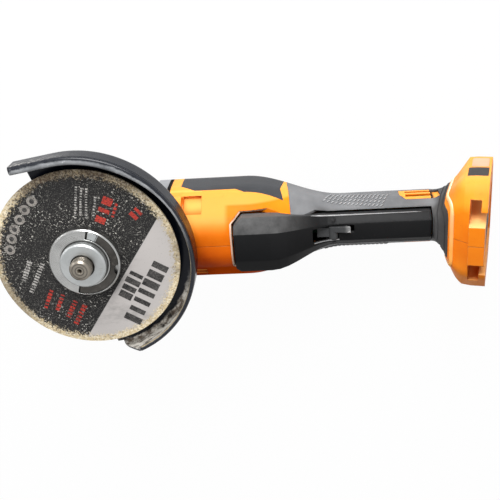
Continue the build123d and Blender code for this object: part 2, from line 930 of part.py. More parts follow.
def make_fan():
    hub = drum_x(fan_hub_r, fan_x, fan_x + fan_width)
    plate = drum_x(fan_r, fan_x + fan_width - fan_plate, fan_x + fan_width)
    low = axis_z + fan_hub_r - 1
    blade = block(fan_x, fan_x + fan_width, -fan_blade / 2, fan_blade / 2, low, axis_z + fan_r)
    lean = Pos(0, 0, axis_z + fan_hub_r) * Rot(25, 0, 0) * Pos(0, 0, -axis_z - fan_hub_r)
    blades = around_x(lean * blade, fan_blades)
    wheel = (hub + plate + blades) & drum_x(fan_r, fan_x, fan_x + fan_width)
    return wheel - drum_x(shaft_r + press, fan_x - 1, fan_x + fan_width + 1)


def make_rotor():
    return ring_x(shaft_r + press, rotor_r, stator_x, stator_x + stator_length)


def make_stator():
    end = stator_x + stator_length
    yoke = ring_x(stator_r - stator_yoke, stator_r, stator_x, end)
    low = axis_z + rotor_r
    tooth = block(stator_x, end, -tooth_neck / 2, tooth_neck / 2, low, axis_z + stator_r - 1)
    shoe = block(stator_x, end, -tooth_neck, tooth_neck, low - 1, low + air_gap + tooth_shoe)
    core = fused([yoke] + around_x(tooth + shoe, stator_slots))
    return core - drum_x(rotor_r + air_gap, stator_x - 1, end + 1)


def make_coils():
    half = tooth_neck / 2 + running
    low = axis_z + rotor_r + air_gap + tooth_shoe + 0.4
    high = axis_z + stator_r - stator_yoke - 0.8
    start = stator_x - coil_overhang
    end = stator_x + stator_length + coil_overhang
    turns = block(start, end, -half - coil_side, half + coil_side, low, high)
    window = block(stator_x - running, stator_x + stator_length + running, -half, half, low - 1, high + 1)
    return Compound(children=around_x(turns - window, stator_slots))


def make_pinion_bearing():
    start = flange_back_x - pinion_bearing_width
    return ring_x(shaft_front_r + running, pinion_bearing_r, start, flange_back_x)


def make_rear_bearing():
    end = rear_bearing_x + rear_bearing_width
    return ring_x(shaft_tail_r + running, rear_bearing_r, rear_bearing_x, end)


# Moulded housing with its overlays

screw_spots = [(85.0, -31.2), (131.0, -20.0), (199.0, -11.0), (253.0, -14.0), (243.0, 25.0)]


def side_prism(points):
    face = make_face(Plane.XZ * Polyline(*points, close=True))
    return extrude(face, 2 * foot_half_width, dir=(0, 1, 0))


def panel_prism(gap=0):
    low = axis_z - motor_side - gap
    edge = axis_z + motor_side + panel_end_gap
    high = edge + gap
    front = housing_front + panel_setback - gap
    back = grip_front_x - panel_end_gap + gap
    step = back - panel_step_x
    points = [(front, low), (back + panel_lean, low), (back, edge - panel_corner)]
    points += [(back + panel_end_gap, high), (step, high), (step - panel_step_run, high - panel_step)]
    points += [(front + panel_cut, high - panel_step), (front, edge - panel_step - panel_step_run)]
    return side_prism(points)


def vent_prism(gap=0):
    x1 = vent_x + vent_length
    points = [(vent_x - gap, vent_low - gap), (x1 + gap, vent_low - gap)]
    points += [(x1 + gap, vent_high + gap), (vent_x + vent_corner, vent_high + gap)]
    points += [(vent_x - gap, vent_high - vent_corner)]
    return side_prism(points)


def pad_prism(gap=0):
    return foot_block(pad_start - gap, pad_end + gap, 0, 2 * foot_half_width, pad_low - gap, pad_high + gap)


def grip_prism(gap=0):
    front = grip_front_x - gap
    low = axis_z - motor_half_height
    top = axis_z + foot_high
    points = [(front, low), (front + grip_front_slant, axis_z + 24), (front + grip_front_slant, top)]
    back = collar_x + collar_lap + gap
    points += [(back, top), (back, axis_z + grip_half_height)]
    points += [(back + collar_slant, axis_z - grip_half_height), (back + collar_slant, low)]
    return side_prism(points)


def skin(piece, depth):
    return piece() - piece(depth)


def panel_skin(depth):
    return fused([skin(motor_piece, depth), skin(taper_piece, depth)])


def grip_skin(depth):
    return fused([skin(taper_piece, depth), skin(grip_piece, depth), skin(flare_piece, depth)])


room_front = paddle_x - paddle_front_gap
room_half = bulge_half + paddle_side_gap
room_steps = [room_front, bulge_end] + sweep_stations[1:] + [paddle_end + 1]
room = loft([paddle_room(x) for x in room_steps], ruled=True)
room = room - front_corners(room_front, room_half, corner_gap)
low_corner = room & mirrored(front_corner(room_front, room_half, paddle_corner + corner_gap))
grip_shell = grip_skin(grip_depth)
panel_left = panel_skin(panel_depth) & panel_prism()
vent_left = skin(grip_piece, grip_depth) & vent_prism()
pad_left = skin(rim_piece, pad_depth) & pad_prism()
grip_left = (grip_shell & grip_prism()) - vent_prism(trim_gap) - room


def overlay_pockets():
    deep = trim_gap
    panel = panel_skin(panel_depth + deep) & panel_prism(trim_gap)
    grip = grip_skin(grip_depth + deep) & grip_prism(trim_gap)
    pad = skin(rim_piece, pad_depth + deep) & pad_prism(trim_gap)
    return [panel, grip, pad]


def make_half_housing():
    tunnel_r = stator_r + seat_gap
    tunnel_outer = drum_x(tunnel_r + tunnel_wall, hollow_x - 1, tunnel_end + 1)
    hollow = motor_piece(housing_wall, hollow_x) + taper_piece(housing_wall)
    hollow = hollow + grip_piece(housing_wall) + flare_piece(housing_wall)
    kept = [tunnel_outer, block(tunnel_end, bulkhead_end, 0, foot_half_width, 0, 2 * axis_z)]
    for x in (module_x + 4, module_x + module_length - 6):
        kept.append(block(x, x + rib, 0, foot_half_width, 0, axis_z + module_low - seat_gap))
    for x in (switch_x - 7, switch_x + 7 - rib):
        kept.append(block(x, x + rib, 0, foot_half_width, 0, axis_z + switch_low - seat_gap))
    for x, h in screw_spots:
        kept.append(drum_y(housing_boss_r, 0, foot_half_width, x, axis_z + h))
    ear_low = axis_z + hinge_h - 5
    ear_side = knuckle_half + free_gap
    kept.append(block(hinge_x - 5, collar_x, ear_side, foot_half_width, ear_low, ear_low + 10))
    hollow = hollow - kept
    shell = fused([motor_piece(), taper_piece(), grip_piece(), flare_piece(), rim_piece()])
    shell = shell + half(fused(housing_bosses(housing_front, boss_end)), 1)
    floor = foot_depth - bay_depth
    shell = shell + foot_block(floor, foot_depth - tongue_short, 0, tongue_half, tongue_low, tongue_high)
    notch = block(boss_end, notch_end, -notch_half, notch_half, notch_floor, 2 * notch_floor)
    shell = shell - Pos(0, 0, axis_z) * Rot(-notch_turn, 0, 0) * notch
    cuts = [hollow, room - tunnel_outer, battery_bay()] + overlay_pockets()
    cuts.append(drum_x(fan_chamber_r, housing_front - 1, fan_chamber_end))
    cuts.append(drum_x(tunnel_r, fan_chamber_end - 1, tunnel_end))
    bearing_end = rear_bearing_x + rear_bearing_width + seat_gap
    cuts.append(drum_x(rear_bearing_r + press, rear_bearing_x, bearing_end))
    cuts.append(drum_x(shaft_r + 1, tunnel_end - 1, rear_bearing_x + 1))
    cuts.append(drum_y(hinge_pin_r + press, 0, hinge_pin_half, hinge_x, axis_z + hinge_h))
    screw_end = flange_front_x + case_screw_length + 1
    for y, h in case_screw_spots():
        cuts.append(drum_x(case_screw_r + press, housing_front - 1, screw_end, y, h))
    for cut in cuts:
        shell = shell - cut
    return shell


def screw_cuts(side):
    cuts = []
    for x, h in screw_spots:
        z = axis_z + h
        if side > 0:
            cuts.append(drum_y(housing_screw_r + press, -1, housing_screw_grip + 1, x, z))
        else:
            outside = -foot_half_width - 1
            cuts.append(drum_y(housing_screw_r + free_gap, outside, 1, x, z))
            cuts.append(drum_y(housing_screw_head_r + free_gap, outside, -housing_screw_seat, x, z))
    return cuts


def battery_bay():
    floor = foot_depth - bay_depth
    past = foot_depth + 2
    low = bay_low - 1
    top = tongue_high + 1
    bay = foot_block(floor, past, -bay_half, bay_half, bay_low, top)
    tongue = foot_block(floor - 1, foot_depth - tongue_short, -tongue_half, tongue_half, low, top + 1)
    rail = foot_block(foot_depth - ledge_depth, past, bay_half - ledge, bay_half + 1, low, top + 1)
    bay = bay - tongue - rail - mirrored(rail)
    start = foot_depth - tongue_short - terminal_depth
    return bay + foot_block(start, past, -terminal_half, terminal_half, terminal_low, terminal_high)


def half(shape, side):
    span = 2 * foot_x
    low = 0 if side > 0 else -span
    return shape & block(-span, span, low, low + span, -span, span)


def make_housing_screws():
    screws = []
    for x, h in screw_spots:
        z = axis_z + h
        shank = drum_y(housing_screw_r, -housing_screw_seat, housing_screw_grip, x, z)
        top = -housing_screw_seat - housing_screw_head
        head = drum_y(housing_screw_head_r, top, -housing_screw_seat, x, z)
        socket = drum_y(housing_screw_head_r / 2, -foot_half_width, top + housing_screw_head / 2, x, z)
        screws.append(shank + head - socket)
    return Compound(children=screws)


def make_vent(base):
    z = (vent_low + vent_high) / 2
    for offset_z in (-vent_slot, vent_slot):
        low = z + offset_z - vent_slot / 2
        base = base - block(vent_x + 4, vent_x + vent_length - 3, 0, foot_half_width, low, low + vent_slot)
    return base


# Paddle group

spring_top = axis_z + paddle_crown(paddle_spring_x + 2 * paddle_spring_r) - paddle_wall - seat_gap


def make_paddle():
    stations = [paddle_x, bulge_end] + sweep_stations[1:] + [paddle_end]
    skin = loft([paddle_section(x) for x in stations], ruled=True)
    inner = [paddle_x + paddle_wall, bulge_end] + sweep_stations[1:] + [paddle_end - paddle_wall]
    inside = loft([paddle_section(x, paddle_wall, paddle_wall) for x in inner], ruled=True)
    inside = inside - front_corners(paddle_x, bulge_half, corner_wall)
    skin = skin - front_corners(paddle_x, bulge_half, 0)
    paddle = skin - inside
    seat = drum(paddle_spring_r + 1, spring_top + seat_gap, 2 * axis_z, paddle_spring_x)
    paddle = paddle + (seat & skin)
    knuckle = drum_y(knuckle_r, -knuckle_half, knuckle_half, hinge_x, axis_z + hinge_h)
    top = axis_z + bar_crown - paddle_wall / 2
    web = block(hinge_x - knuckle_r, hinge_x + knuckle_r, -knuckle_half, knuckle_half, axis_z + hinge_h, top)
    paddle = paddle + knuckle + web
    post_low = axis_z + switch_low + switch_height + plunger_height + free_gap
    paddle = paddle + block(switch_x - 2, switch_x + 2, -4, 4, post_low, top)
    pivot_z = axis_z + lock_pivot_h
    side = lever_slot_half
    cheek = block(lock_pivot_x - 5, lock_pivot_x + 5, side, side + 2, pivot_z - 4, pivot_z + 3)
    paddle = paddle + (cheek & skin) + (mirrored(cheek) & skin)
    slot_low = axis_z + bar_side - 2
    slot = block(lever_slot_x, lever_neck, -side, side, slot_low, 2 * axis_z)
    slot = slot + block(lever_neck - 1, lever_slot_end, tongue_side - paddle_gap, side, slot_low, 2 * axis_z)
    paddle = paddle - slot
    paddle = paddle - drum_y(lock_lever_pin_r + press, -bar_half, bar_half, lock_pivot_x, pivot_z)
    tunnel = stator_r + seat_gap + tunnel_wall + paddle_gap
    paddle = paddle - drum_x(tunnel, paddle_x - 1, tunnel_end, 0, paddle_drop(paddle_x))
    return paddle - drum_y(hinge_pin_r + running, -bar_half, bar_half, hinge_x, axis_z + hinge_h)


def make_lock_lever():
    z = axis_z + lock_pivot_h
    hub = drum_y(lock_lever_hub_r, -lock_lever_half, lock_lever_half, lock_pivot_x, z)
    shape = [(-3, -1), (2, -2.5), (11, 3), (11.5, 4.8), (9, 5.2), (0, lock_lever_hub_r)]
    points = [(lock_pivot_x + along, z + up) for along, up in shape]
    tongue = extrude(make_face(Plane.XZ * Polyline(*points, close=True)), lock_lever_half, both=True)
    top = 2 * axis_z
    tongue = tongue & block(lever_slot_x, lever_slot_end, tongue_side, lock_lever_half, axis_z, top)
    nose_half = lock_lever_half - 1
    nose = block(lock_pivot_x - 11, lock_pivot_x, -nose_half, nose_half, z - 1.4, z + 1.4)
    lever = hub + tongue + nose
    return lever - drum_y(lock_lever_pin_r + running, -bar_half, bar_half, lock_pivot_x, z)


def make_lock_lever_pin():
    reach = lever_slot_half + 1.8
    return drum_y(lock_lever_pin_r, -reach, reach, lock_pivot_x, axis_z + lock_pivot_h)


def make_hinge_pin():
    return drum_y(hinge_pin_r, -hinge_pin_half + 0.2, hinge_pin_half - 0.2, hinge_x, axis_z + hinge_h)


def make_paddle_spring():
    low = axis_z + bulge_edge - paddle_drop(paddle_spring_x) - paddle_gap + seat_gap
    return coil(paddle_spring_r, paddle_spring_wire_r, low, spring_top, spring_turns, paddle_spring_x)


# Electrical pieces

def make_module():
    x1 = module_x + module_length
    low = axis_z + module_low
    tray = block(module_x, x1, -module_half, module_half, low, low + module_height)
    past = module_half + 1
    for i in range(module_fins):
        start = module_x + fin_pitch * (i + 0.6)
        fin_low = low + module_height - fin_height
        tray = tray - block(start, start + rib, -past, past, fin_low, fin_low + 2 * fin_height)
    return tray


def make_board():
    low = axis_z + module_low + module_height + running
    side = module_half - 1
    return block(module_x + 1, module_x + module_length - 1, -side, side, low, low + board_thickness)


def make_switch():
    low = axis_z + switch_low
    start = switch_x - switch_length / 2
    case = block(start, start + switch_length, -switch_half, switch_half, low, low + switch_height)
    return case - drum(plunger_r + free_gap, low + 5, low + switch_height + 1, switch_x)


def make_plunger():
    low = axis_z + switch_low
    return drum(plunger_r, low + 7, low + switch_height + plunger_height, switch_x)


def contact_spots():
    return [(i - (contact_count - 1) / 2) * contact_pitch for i in range(contact_count)]


def make_terminal_block():
    start = foot_depth - tongue_short - terminal_depth
    end = foot_depth - tongue_short
    side = terminal_half - trim_gap
    low = terminal_low + trim_gap
    base = foot_block(start + press, end, -side, side, low, terminal_high - trim_gap)
    for y in contact_spots():
        edge = y - contact_slot / 2
        base = base - foot_block(start + 2, end + 1, edge, edge + contact_slot, low + 12, terminal_high + 1)
    return base


def make_contacts():
    start = foot_depth - tongue_short - terminal_depth
    end = foot_depth - tongue_short - 1
    low = terminal_low + 16
    high = terminal_high - 8
    blades = []
    for y in contact_spots():
        edge = y - contact_thickness / 2
        blades.append(foot_block(start + 2, end, edge, edge + contact_thickness, low, high))
    return Compound(children=blades)


half_housing = make_half_housing()
right_cuts = screw_cuts(-1)

nodes = {
    "spindle": make_spindle(),
    "ring_gear": make_ring_gear(),
    "gear_circlip": ring(gear_seat_r + press, clip_r, gear_hub_z - clip_thickness, gear_hub_z),
    "inner_flange": make_inner_flange(),
    "cutting_disc": make_disc(),
    "nut_flange": make_nut_flange(),
    "nut_hub": make_nut_hub(),
    "nut_bail": make_bail(),
    "bail_pins": make_bail_pins(),
    "gear_case": make_gear_case(),
    "bearing_plate": make_bearing_plate(),
    "bearing_plate_screws": make_plate_screws(),
    "gear_case_screws": make_case_screws(),
    "fan_baffle": make_baffle(),
    "spindle_needle_bearing": ring(journal_r + running, needle_r, needle_z, needle_z + needle_length),
    "spindle_bearing": make_spindle_bearing(),
    "dust_seal": ring(shoulder_r + running, seal_r, seal_z, seal_z + seal_width),
    "lock_button": make_lock_button(),
    "lock_spring": make_lock_spring(),
    "guard": make_guard(),
    "guard_band": make_guard_band(),
    "guard_lever": make_guard_lever(),
    "guard_lever_pin": make_guard_lever_pin(),
    "motor_shaft": make_shaft(),
    "pinion": make_pinion(),
    "fan": make_fan(),
    "rotor_core": make_rotor(),
    "stator_core": make_stator(),
    "stator_coils": make_coils(),
    "pinion_bearing": make_pinion_bearing(),
    "rear_motor_bearing": make_rear_bearing(),
    "housing_left": half_housing - screw_cuts(1),
    "housing_right": mirrored(half_housing) - right_cuts - low_corner,
    "side_panel_left": panel_left,
    "side_panel_right": mirrored(panel_left),
    "grip_left": grip_left,
    "grip_right": mirrored(grip_left) - right_cuts,
    "vent_insert_left": make_vent(vent_left),
    "vent_insert_right": mirrored(make_vent(vent_left)),
    "latch_pads": Compound(children=[pad_left, mirrored(pad_left)]),
    "housing_screws": make_housing_screws(),
    "paddle": make_paddle(),
    "paddle_hinge_pin": make_hinge_pin(),
    "paddle_spring": make_paddle_spring(),
    "lock_lever": make_lock_lever(),
    "lock_lever_pin": make_lock_lever_pin(),
    "control_module": make_module(),
    "circuit_board": make_board(),
    "trigger_switch": make_switch(),
    "switch_plunger": make_plunger(),
    "terminal_block": make_terminal_block(),
    "battery_contacts": make_contacts(),
}

os.makedirs("parts", exist_ok=True)
for name, shape in nodes.items():
    export_step(shape, f"parts/{name}.step")
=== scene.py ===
import bpy
import bmesh
import math
import random
from functools import reduce
from mathutils import Vector, Matrix
from mathutils.bvhtree import BVHTree


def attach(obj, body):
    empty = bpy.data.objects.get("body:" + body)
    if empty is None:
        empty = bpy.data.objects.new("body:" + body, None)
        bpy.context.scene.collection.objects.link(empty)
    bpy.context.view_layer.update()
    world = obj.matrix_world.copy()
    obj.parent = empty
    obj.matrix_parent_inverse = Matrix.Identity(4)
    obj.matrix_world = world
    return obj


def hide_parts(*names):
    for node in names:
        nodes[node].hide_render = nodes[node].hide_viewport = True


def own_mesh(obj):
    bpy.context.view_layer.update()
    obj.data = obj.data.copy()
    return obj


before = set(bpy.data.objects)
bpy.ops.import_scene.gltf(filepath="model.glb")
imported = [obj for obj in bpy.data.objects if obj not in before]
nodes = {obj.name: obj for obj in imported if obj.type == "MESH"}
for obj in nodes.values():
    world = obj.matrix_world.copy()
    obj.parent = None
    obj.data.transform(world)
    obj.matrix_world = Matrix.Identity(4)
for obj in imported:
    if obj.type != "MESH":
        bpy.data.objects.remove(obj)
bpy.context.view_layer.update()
scene = bpy.context.scene
print("frame loaded:", len(nodes), "nodes")

mm = 0.001
axisZ = 38 * mm  # the motor's axis
discTop = 86 * mm  # the disc's printed face
sunk = 0.15 * mm  # how deep trim is set into what carries it
castFrom = 0.09  # rays at the tool's sides start this far out
castAbove = 0.12


def rgba(tone):
    return (*(tone if isinstance(tone, tuple) else (tone,) * 3), 1.0)  # one number is a grey


# node trees: numbers stay on the socket, sockets are linked
class NodeTree:
    def __init__(self, tree):
        self.tree = tree
        tree.nodes.clear()

    def feed(self, socket, value):
        if hasattr(value, "is_linked"):
            self.tree.links.new(value, socket)
        else:
            socket.default_value = value

    def add(self, kind, *values):
        node = self.tree.nodes.new("ShaderNode" + kind)
        for socket, value in zip(node.inputs, values):
            self.feed(socket, value)
        return node

    def calc(self, how, *values):
        node = self.add("Math", *values)
        node.operation = how
        return node.outputs[0]

    def times(self, *values):
        return reduce(lambda a, b: self.calc("MULTIPLY", a, b), values)

    def most(self, *values):
        return reduce(lambda a, b: self.calc("MAXIMUM", a, b), values)

    def plus(self, a, b):
        return self.calc("ADD", a, b)

    def less(self, a, b):
        return self.calc("SUBTRACT", a, b)

    def rest(self, share):
        return self.less(1.0, share)

    def ragged(self, value, noise, reach):
        return self.plus(value, self.times(self.less(noise, 0.5), reach))

    def rise(self, value, ends, start=0.0, stop=1.0):
        node = self.add("MapRange", value, *ends, start, stop)
        node.interpolation_type = "SMOOTHSTEP"
        return node.outputs[0]

    def fall(self, value, ends):
        return self.rise(value, ends, 1.0, 0.0)

    def spread(self, value, ends):
        return self.add("MapRange", value, 0.3, 0.7, *ends).outputs[0]  # most of a noise lies in this range

    def mix(self, share, a, b):
        node = self.add("Mix")
        node.data_type = "RGBA"
        self.feed(node.inputs[0], share)
        for socket, tone in ((node.inputs[6], a), (node.inputs[7], b)):
            self.feed(socket, tone if hasattr(tone, "is_linked") else rgba(tone))
        return node.outputs[2]


# one finish: its colour is laid on in coats
class Finish(NodeTree):
    def __init__(self, name):
        self.material = bpy.data.materials.new(name)
        self.material.use_nodes = True
        super().__init__(self.material.node_tree)
        self.shader = self.add("BsdfPrincipled")
        self.add("OutputMaterial", self.shader.outputs[0])
        coord = self.add("TexCoord")
        self.where = coord.outputs["Object"]
        self.x, self.y, self.z = self.add("SeparateXYZ", self.where).outputs
        self.nx, self.ny, self.nz = self.add("SeparateXYZ", coord.outputs["Normal"]).outputs
        self.soft = None  # the normal with rounded edges

    def noise(self, scale, detail=3.0, rough=0.55, stretch=None, where=None):
        where = self.where if where is None else where
        if stretch:
            mapping = self.add("Mapping", where)
            self.feed(mapping.inputs["Scale"], stretch)
            where = mapping.outputs[0]
        node = self.add("TexNoise", where)
        for socket, value in (("Scale", scale), ("Detail", detail), ("Roughness", rough)):
            self.feed(node.inputs[socket], value)
        return node.outputs[0]

    def specks(self, grain, cut, share=1.0):
        return self.times(self.rise(self.noise(*grain), cut), share)

    def drift(self, grain, ends):
        return self.spread(self.noise(*grain), ends)

    def radius(self):
        return self.calc("SQRT", self.plus(self.times(self.x, self.x), self.times(self.y, self.y)))

    def outward(self):
        return self.plus(self.times(self.x, self.nx), self.times(self.y, self.ny))

    def rounded(self, size):
        node = self.add("Bevel", size)
        node.samples = 4
        return node.outputs[0]

    def worn(self, size, turn):
        self.soft = self.rounded(size)
        dot = self.add("VectorMath", self.soft, self.add("NewGeometry").outputs["Normal"])
        dot.operation = "DOT_PRODUCT"
        return self.rise(self.rest(dot.outputs["Value"]), turn)

    def hollow(self, reach, ends):
        node = self.add("AmbientOcclusion")
        node.samples = 6
        self.feed(node.inputs["Distance"], reach)
        return self.fall(node.outputs["AO"], ends)

    def clouded(self, low, high, grain):
        self.cloud = self.noise(*grain)
        self.colour = self.mix(self.spread(self.cloud, (0.0, 1.0)), low, high)

    def coat(self, tone, *shares):
        self.colour = self.mix(self.times(*shares), self.colour, tone)

    def done(self, rough, shine, relief, depth, size, metallic=0.0):
        bump = self.add("Bump")
        height = self.noise(*relief) if isinstance(relief, tuple) else relief
        for socket, value in (("Strength", depth), ("Distance", size), ("Height", height)):
            self.feed(bump.inputs[socket], value)
        if self.soft is not None:
            self.feed(bump.inputs["Normal"], self.soft)
        for socket, value in (("Base Color", self.colour), ("Roughness", rough), ("Metallic", metallic),
                              ("Specular IOR Level", shine), ("Normal", bump.outputs[0])):
            self.feed(self.shader.inputs[socket], value)
        return self.material


# In the finishes' values a pair is where a coat begins and is full: along X, Y, Z or R in metres, or by a Face's turn.
# Specks are a noise (scale, detail, roughness, stretch), the pair it is cut at, and the share of the coat.

# moulded orange shell: painted highlight on the side turned to the key light, painted shade low down, worn along edges,
# grime and painted shade in hollows
orangeValues = {
    "deep": (0.80, 0.175, 0.004), "pale": (0.93, 0.29, 0.014), "clouds": (26.0, 4.0),
    "highlightTone": (1.0, 0.46, 0.095), "highlightFace": (0.05, 0.75), "highlightShare": 0.62,
    "mouthX": (0.091, 0.095), "mouthEndX": (0.150, 0.152), "mouthY": (0.0235, 0.0250),
    "footX": (0.234, 0.241), "footY": (0.026, 0.042), "footShare": 0.85,
    "shade": (0.86, 0.105, 0.002), "lowFace": (-0.55, 0.10), "lowY": (-0.020, 0.023),
    "lowX": (0.12, 0.17), "lowSpread": (0.20, 0.88), "farFace": (-0.99, -0.72), "farSpread": (0.30, 1.0),
    "scuff": (0.96, 0.55, 0.22), "edge": 0.0008, "edgeTurn": (0.03, 0.3),
    "scuffs": ((210.0, 5.0, 0.65), (0.42, 0.60), 0.6),
    "scratches": ((90.0, 6.0, 0.7, (1.0, 9.0, 3.0)), (0.66, 0.72), 0.25),
    "grime": (0.20, 0.042, 0.008), "grit": ((700.0, 5.0, 0.7), (0.64, 0.72), 0.35),
    "dirt": ((60.0, 7.0, 0.72), (0.56, 0.74), 0.30), "hollow": (0.0045, (0.15, 0.8)),
    "cornerX": (0.244, 0.252), "cornerSpread": (0.35, 1.0), "grimeAndShadeShare": 0.60,
    "gloss": ((140.0, 4.0), (0.30, 0.50)), "shine": 0.06,
    "skin": ((2600.0, 2.0), 0.10, 0.0002),
}
# what the housing has besides
housingValues = {
    "sootAndShade": (0.30, 0.020, 0.002), "nearX": (0.072, 0.100), "nearY": (-0.018, 0.020),
    "bellyX": (0.100, 0.160), "bellyFace": (-0.74, -0.38), "bellyShare": 0.80,
    "shadeDrift": ((48.0, 5.0, 0.65), (0.55, 1.0)), "shadeShare": 0.85,
    "dust": (0.58, 0.20, 0.022), "dustX": (0.238, 0.246), "dustY": (-0.024, 0.030), "dustShare": 0.42,
    "dirtX": (0.246, 0.256), "dirtY": (-0.047, -0.030), "dirtDrift": ((90.0, 6.0, 0.7), (0.2, 1.0)),
    "dirtShare": 0.74,
    "railLightTone": (1.0, 0.60, 0.22), "railInY": (0.0120, 0.0126), "railOutY": (0.0284, 0.0290), "railX": (0.240, 0.244),
    "railFace": (0.85, 0.95), "railY": (-0.010, 0.010), "railSpread": (0.55, 1.0), "railShare": 0.95,
    "notch": (0.68, 0.125, 0.003), "notchCos": 0.673, "notchSin": 0.7396, "notchFloor": 0.031,
    "notchOff": (0.0003, 0.0008), "notchX": (0.0765, 0.0768), "notchY": (0.012, 0.014), "notchFadeY": (0.0180, 0.0235),
    "notchShare": 0.9,
    "wellShade": (0.012, 0.008, 0.006), "wellX": (0.136, 0.141), "wellEndX": (0.232, 0.234), "wellY": (0.0175, 0.0185),
    "wellZ": (axisZ - 0.017, axisZ - 0.015), "lineY": (0.000075, 0.00025), "lineShare": 0.6,
}


def soilAndShadeHousing(p, shadeKept):
    v, shell = housingValues, orangeValues
    # painted shade near the disc and on the belly, broken by noise
    belly = p.times(p.fall(p.x, v["bellyX"]), p.fall(p.ny, v["bellyFace"]))
    near = p.most(p.times(p.fall(p.x, v["nearX"]), p.fall(p.y, v["nearY"])), p.times(belly, v["bellyShare"]))
    p.coat(v["sootAndShade"], near, p.drift(*v["shadeDrift"]), shadeKept, v["shadeShare"])
    # dust on the foot and dirt rubbed into its lower end
    p.coat(v["dust"], p.rise(p.x, v["dustX"]), p.fall(p.y, v["dustY"]), v["dustShare"])
    p.coat(shell["grime"], p.rise(p.x, v["dirtX"]), p.fall(p.y, v["dirtY"]), p.drift(*v["dirtDrift"]),
           v["dirtShare"])
    # painted light: the rails' slots are painted pale, lifting the shade in them
    aside = p.calc("ABSOLUTE", p.y)
    p.coat(v["railLightTone"], p.rise(aside, v["railInY"]), p.fall(aside, v["railOutY"]), p.rise(p.x, v["railX"]),
           p.rise(p.ny, v["railFace"]), p.spread(p.rise(p.y, v["railY"]), v["railSpread"]), v["railShare"])
    # painted shade on the floors of the screw notches, with a painted highlight towards their outer side
    height = p.plus(p.times(aside, v["notchCos"]), p.times(p.less(p.z, axisZ), v["notchSin"]))
    off = p.calc("ABSOLUTE", p.less(height, v["notchFloor"]))
    tone = p.mix(p.fall(aside, v["notchFadeY"]), shell["highlightTone"], v["notch"])
    p.coat(tone, p.fall(off, v["notchOff"]), p.fall(p.x, v["notchX"]), p.rise(aside, v["notchY"]), v["notchShare"])
    # painted shade: the housing inside the paddle's well is painted near black behind its mouth
    p.coat(v["wellShade"], p.rise(p.x, v["wellX"]), p.fall(aside, v["wellY"]), p.fall(p.x, v["wellEndX"]),
           p.rise(p.z, v["wellZ"]))
    p.coat(shell["grime"], p.fall(aside, v["lineY"]), v["lineShare"])  # parting line on the middle plane
    return p.times(p.rest(belly), shell["shine"])  # the belly under its painted shade is dull


def orangeShell(name, isHousing):
    v = orangeValues
    p = Finish(name)
    p.clouded(v["deep"], v["pale"], v["clouds"])
    # painted highlight on the faces turned to the key light, less of it at the paddle's mouth and on the foot
    mouth = p.times(p.rise(p.x, v["mouthX"]), p.fall(p.y, v["mouthY"]), p.fall(p.x, v["mouthEndX"]))
    foot = p.times(p.rise(p.x, v["footX"]), p.fall(p.y, v["footY"]), v["footShare"])
    p.coat(v["highlightTone"], p.rise(p.ny, v["highlightFace"]), v["highlightShare"], p.rest(mouth), p.rest(foot))
    shadeKept = p.spread(p.rise(p.ny, v["farFace"]), v["farSpread"])  # less painted shade on the far side than on the belly
    # painted shade: redder low down and towards the front
    low = p.most(p.fall(p.ny, v["lowFace"]), p.fall(p.y, v["lowY"]))
    p.coat(v["shade"], low, p.spread(p.fall(p.x, v["lowX"]), v["lowSpread"]), shadeKept)
    p.coat(v["scuff"], p.worn(v["edge"], v["edgeTurn"]), p.specks(*v["scuffs"]))
    p.coat(v["scuff"], p.specks(*v["scratches"]))
    p.coat(v["grime"], p.specks(*v["grit"]))
    # painted shade in hollows (ambient occlusion), laid on in the grime colour together with dirt specks
    corners = p.times(p.hollow(*v["hollow"]), p.spread(p.fall(p.x, v["cornerX"]), v["cornerSpread"]))
    p.coat(v["grime"], p.most(corners, p.specks(*v["dirt"])), v["grimeAndShadeShare"])
    shine = soilAndShadeHousing(p, shadeKept) if isHousing else v["shine"]
    return p.done(p.drift(*v["gloss"]), shine, *v["skin"])


# moulded plastic and rubber share one recipe
mouldedValues = {
    "clouds": (45.0, 5.0, 0.6), "edgeTurn": (0.03, 0.3), "scuffs": ((170.0, 6.0, 0.7), (0.45, 0.66)),
    "dust": ((480.0, 6.0, 0.75), (0.60, 0.74), 0.35), "shadow": 0.006, "hollow": (0.005, (0.2, 0.75)),
    "hollowShare": 0.8, "skinDetail": 2.0, "skinSize": 0.0003,
    "collar": (0.022, 0.022, 0.023), "collarX": (0.230, 0.237), "collarShare": 0.75,
    "brim": (0.040, 0.037, 0.034), "brimZ": (0.0475, 0.0525), "brimX": (0.150, 0.158), "brimShare": 0.70,
    "sheenDrift": ((70.0, 5.0, 0.65), (0.30, 1.0)), "sheenY": (-0.014, 0.018), "sheenShare": 0.22,
    "sheenFace": (0.55, 0.95), "frontFace": (0.10, 0.42), "frontX": (0.118, 0.156),
    "tipX": (0.171, 0.175), "tipSpread": (0.35, 0.95),
}


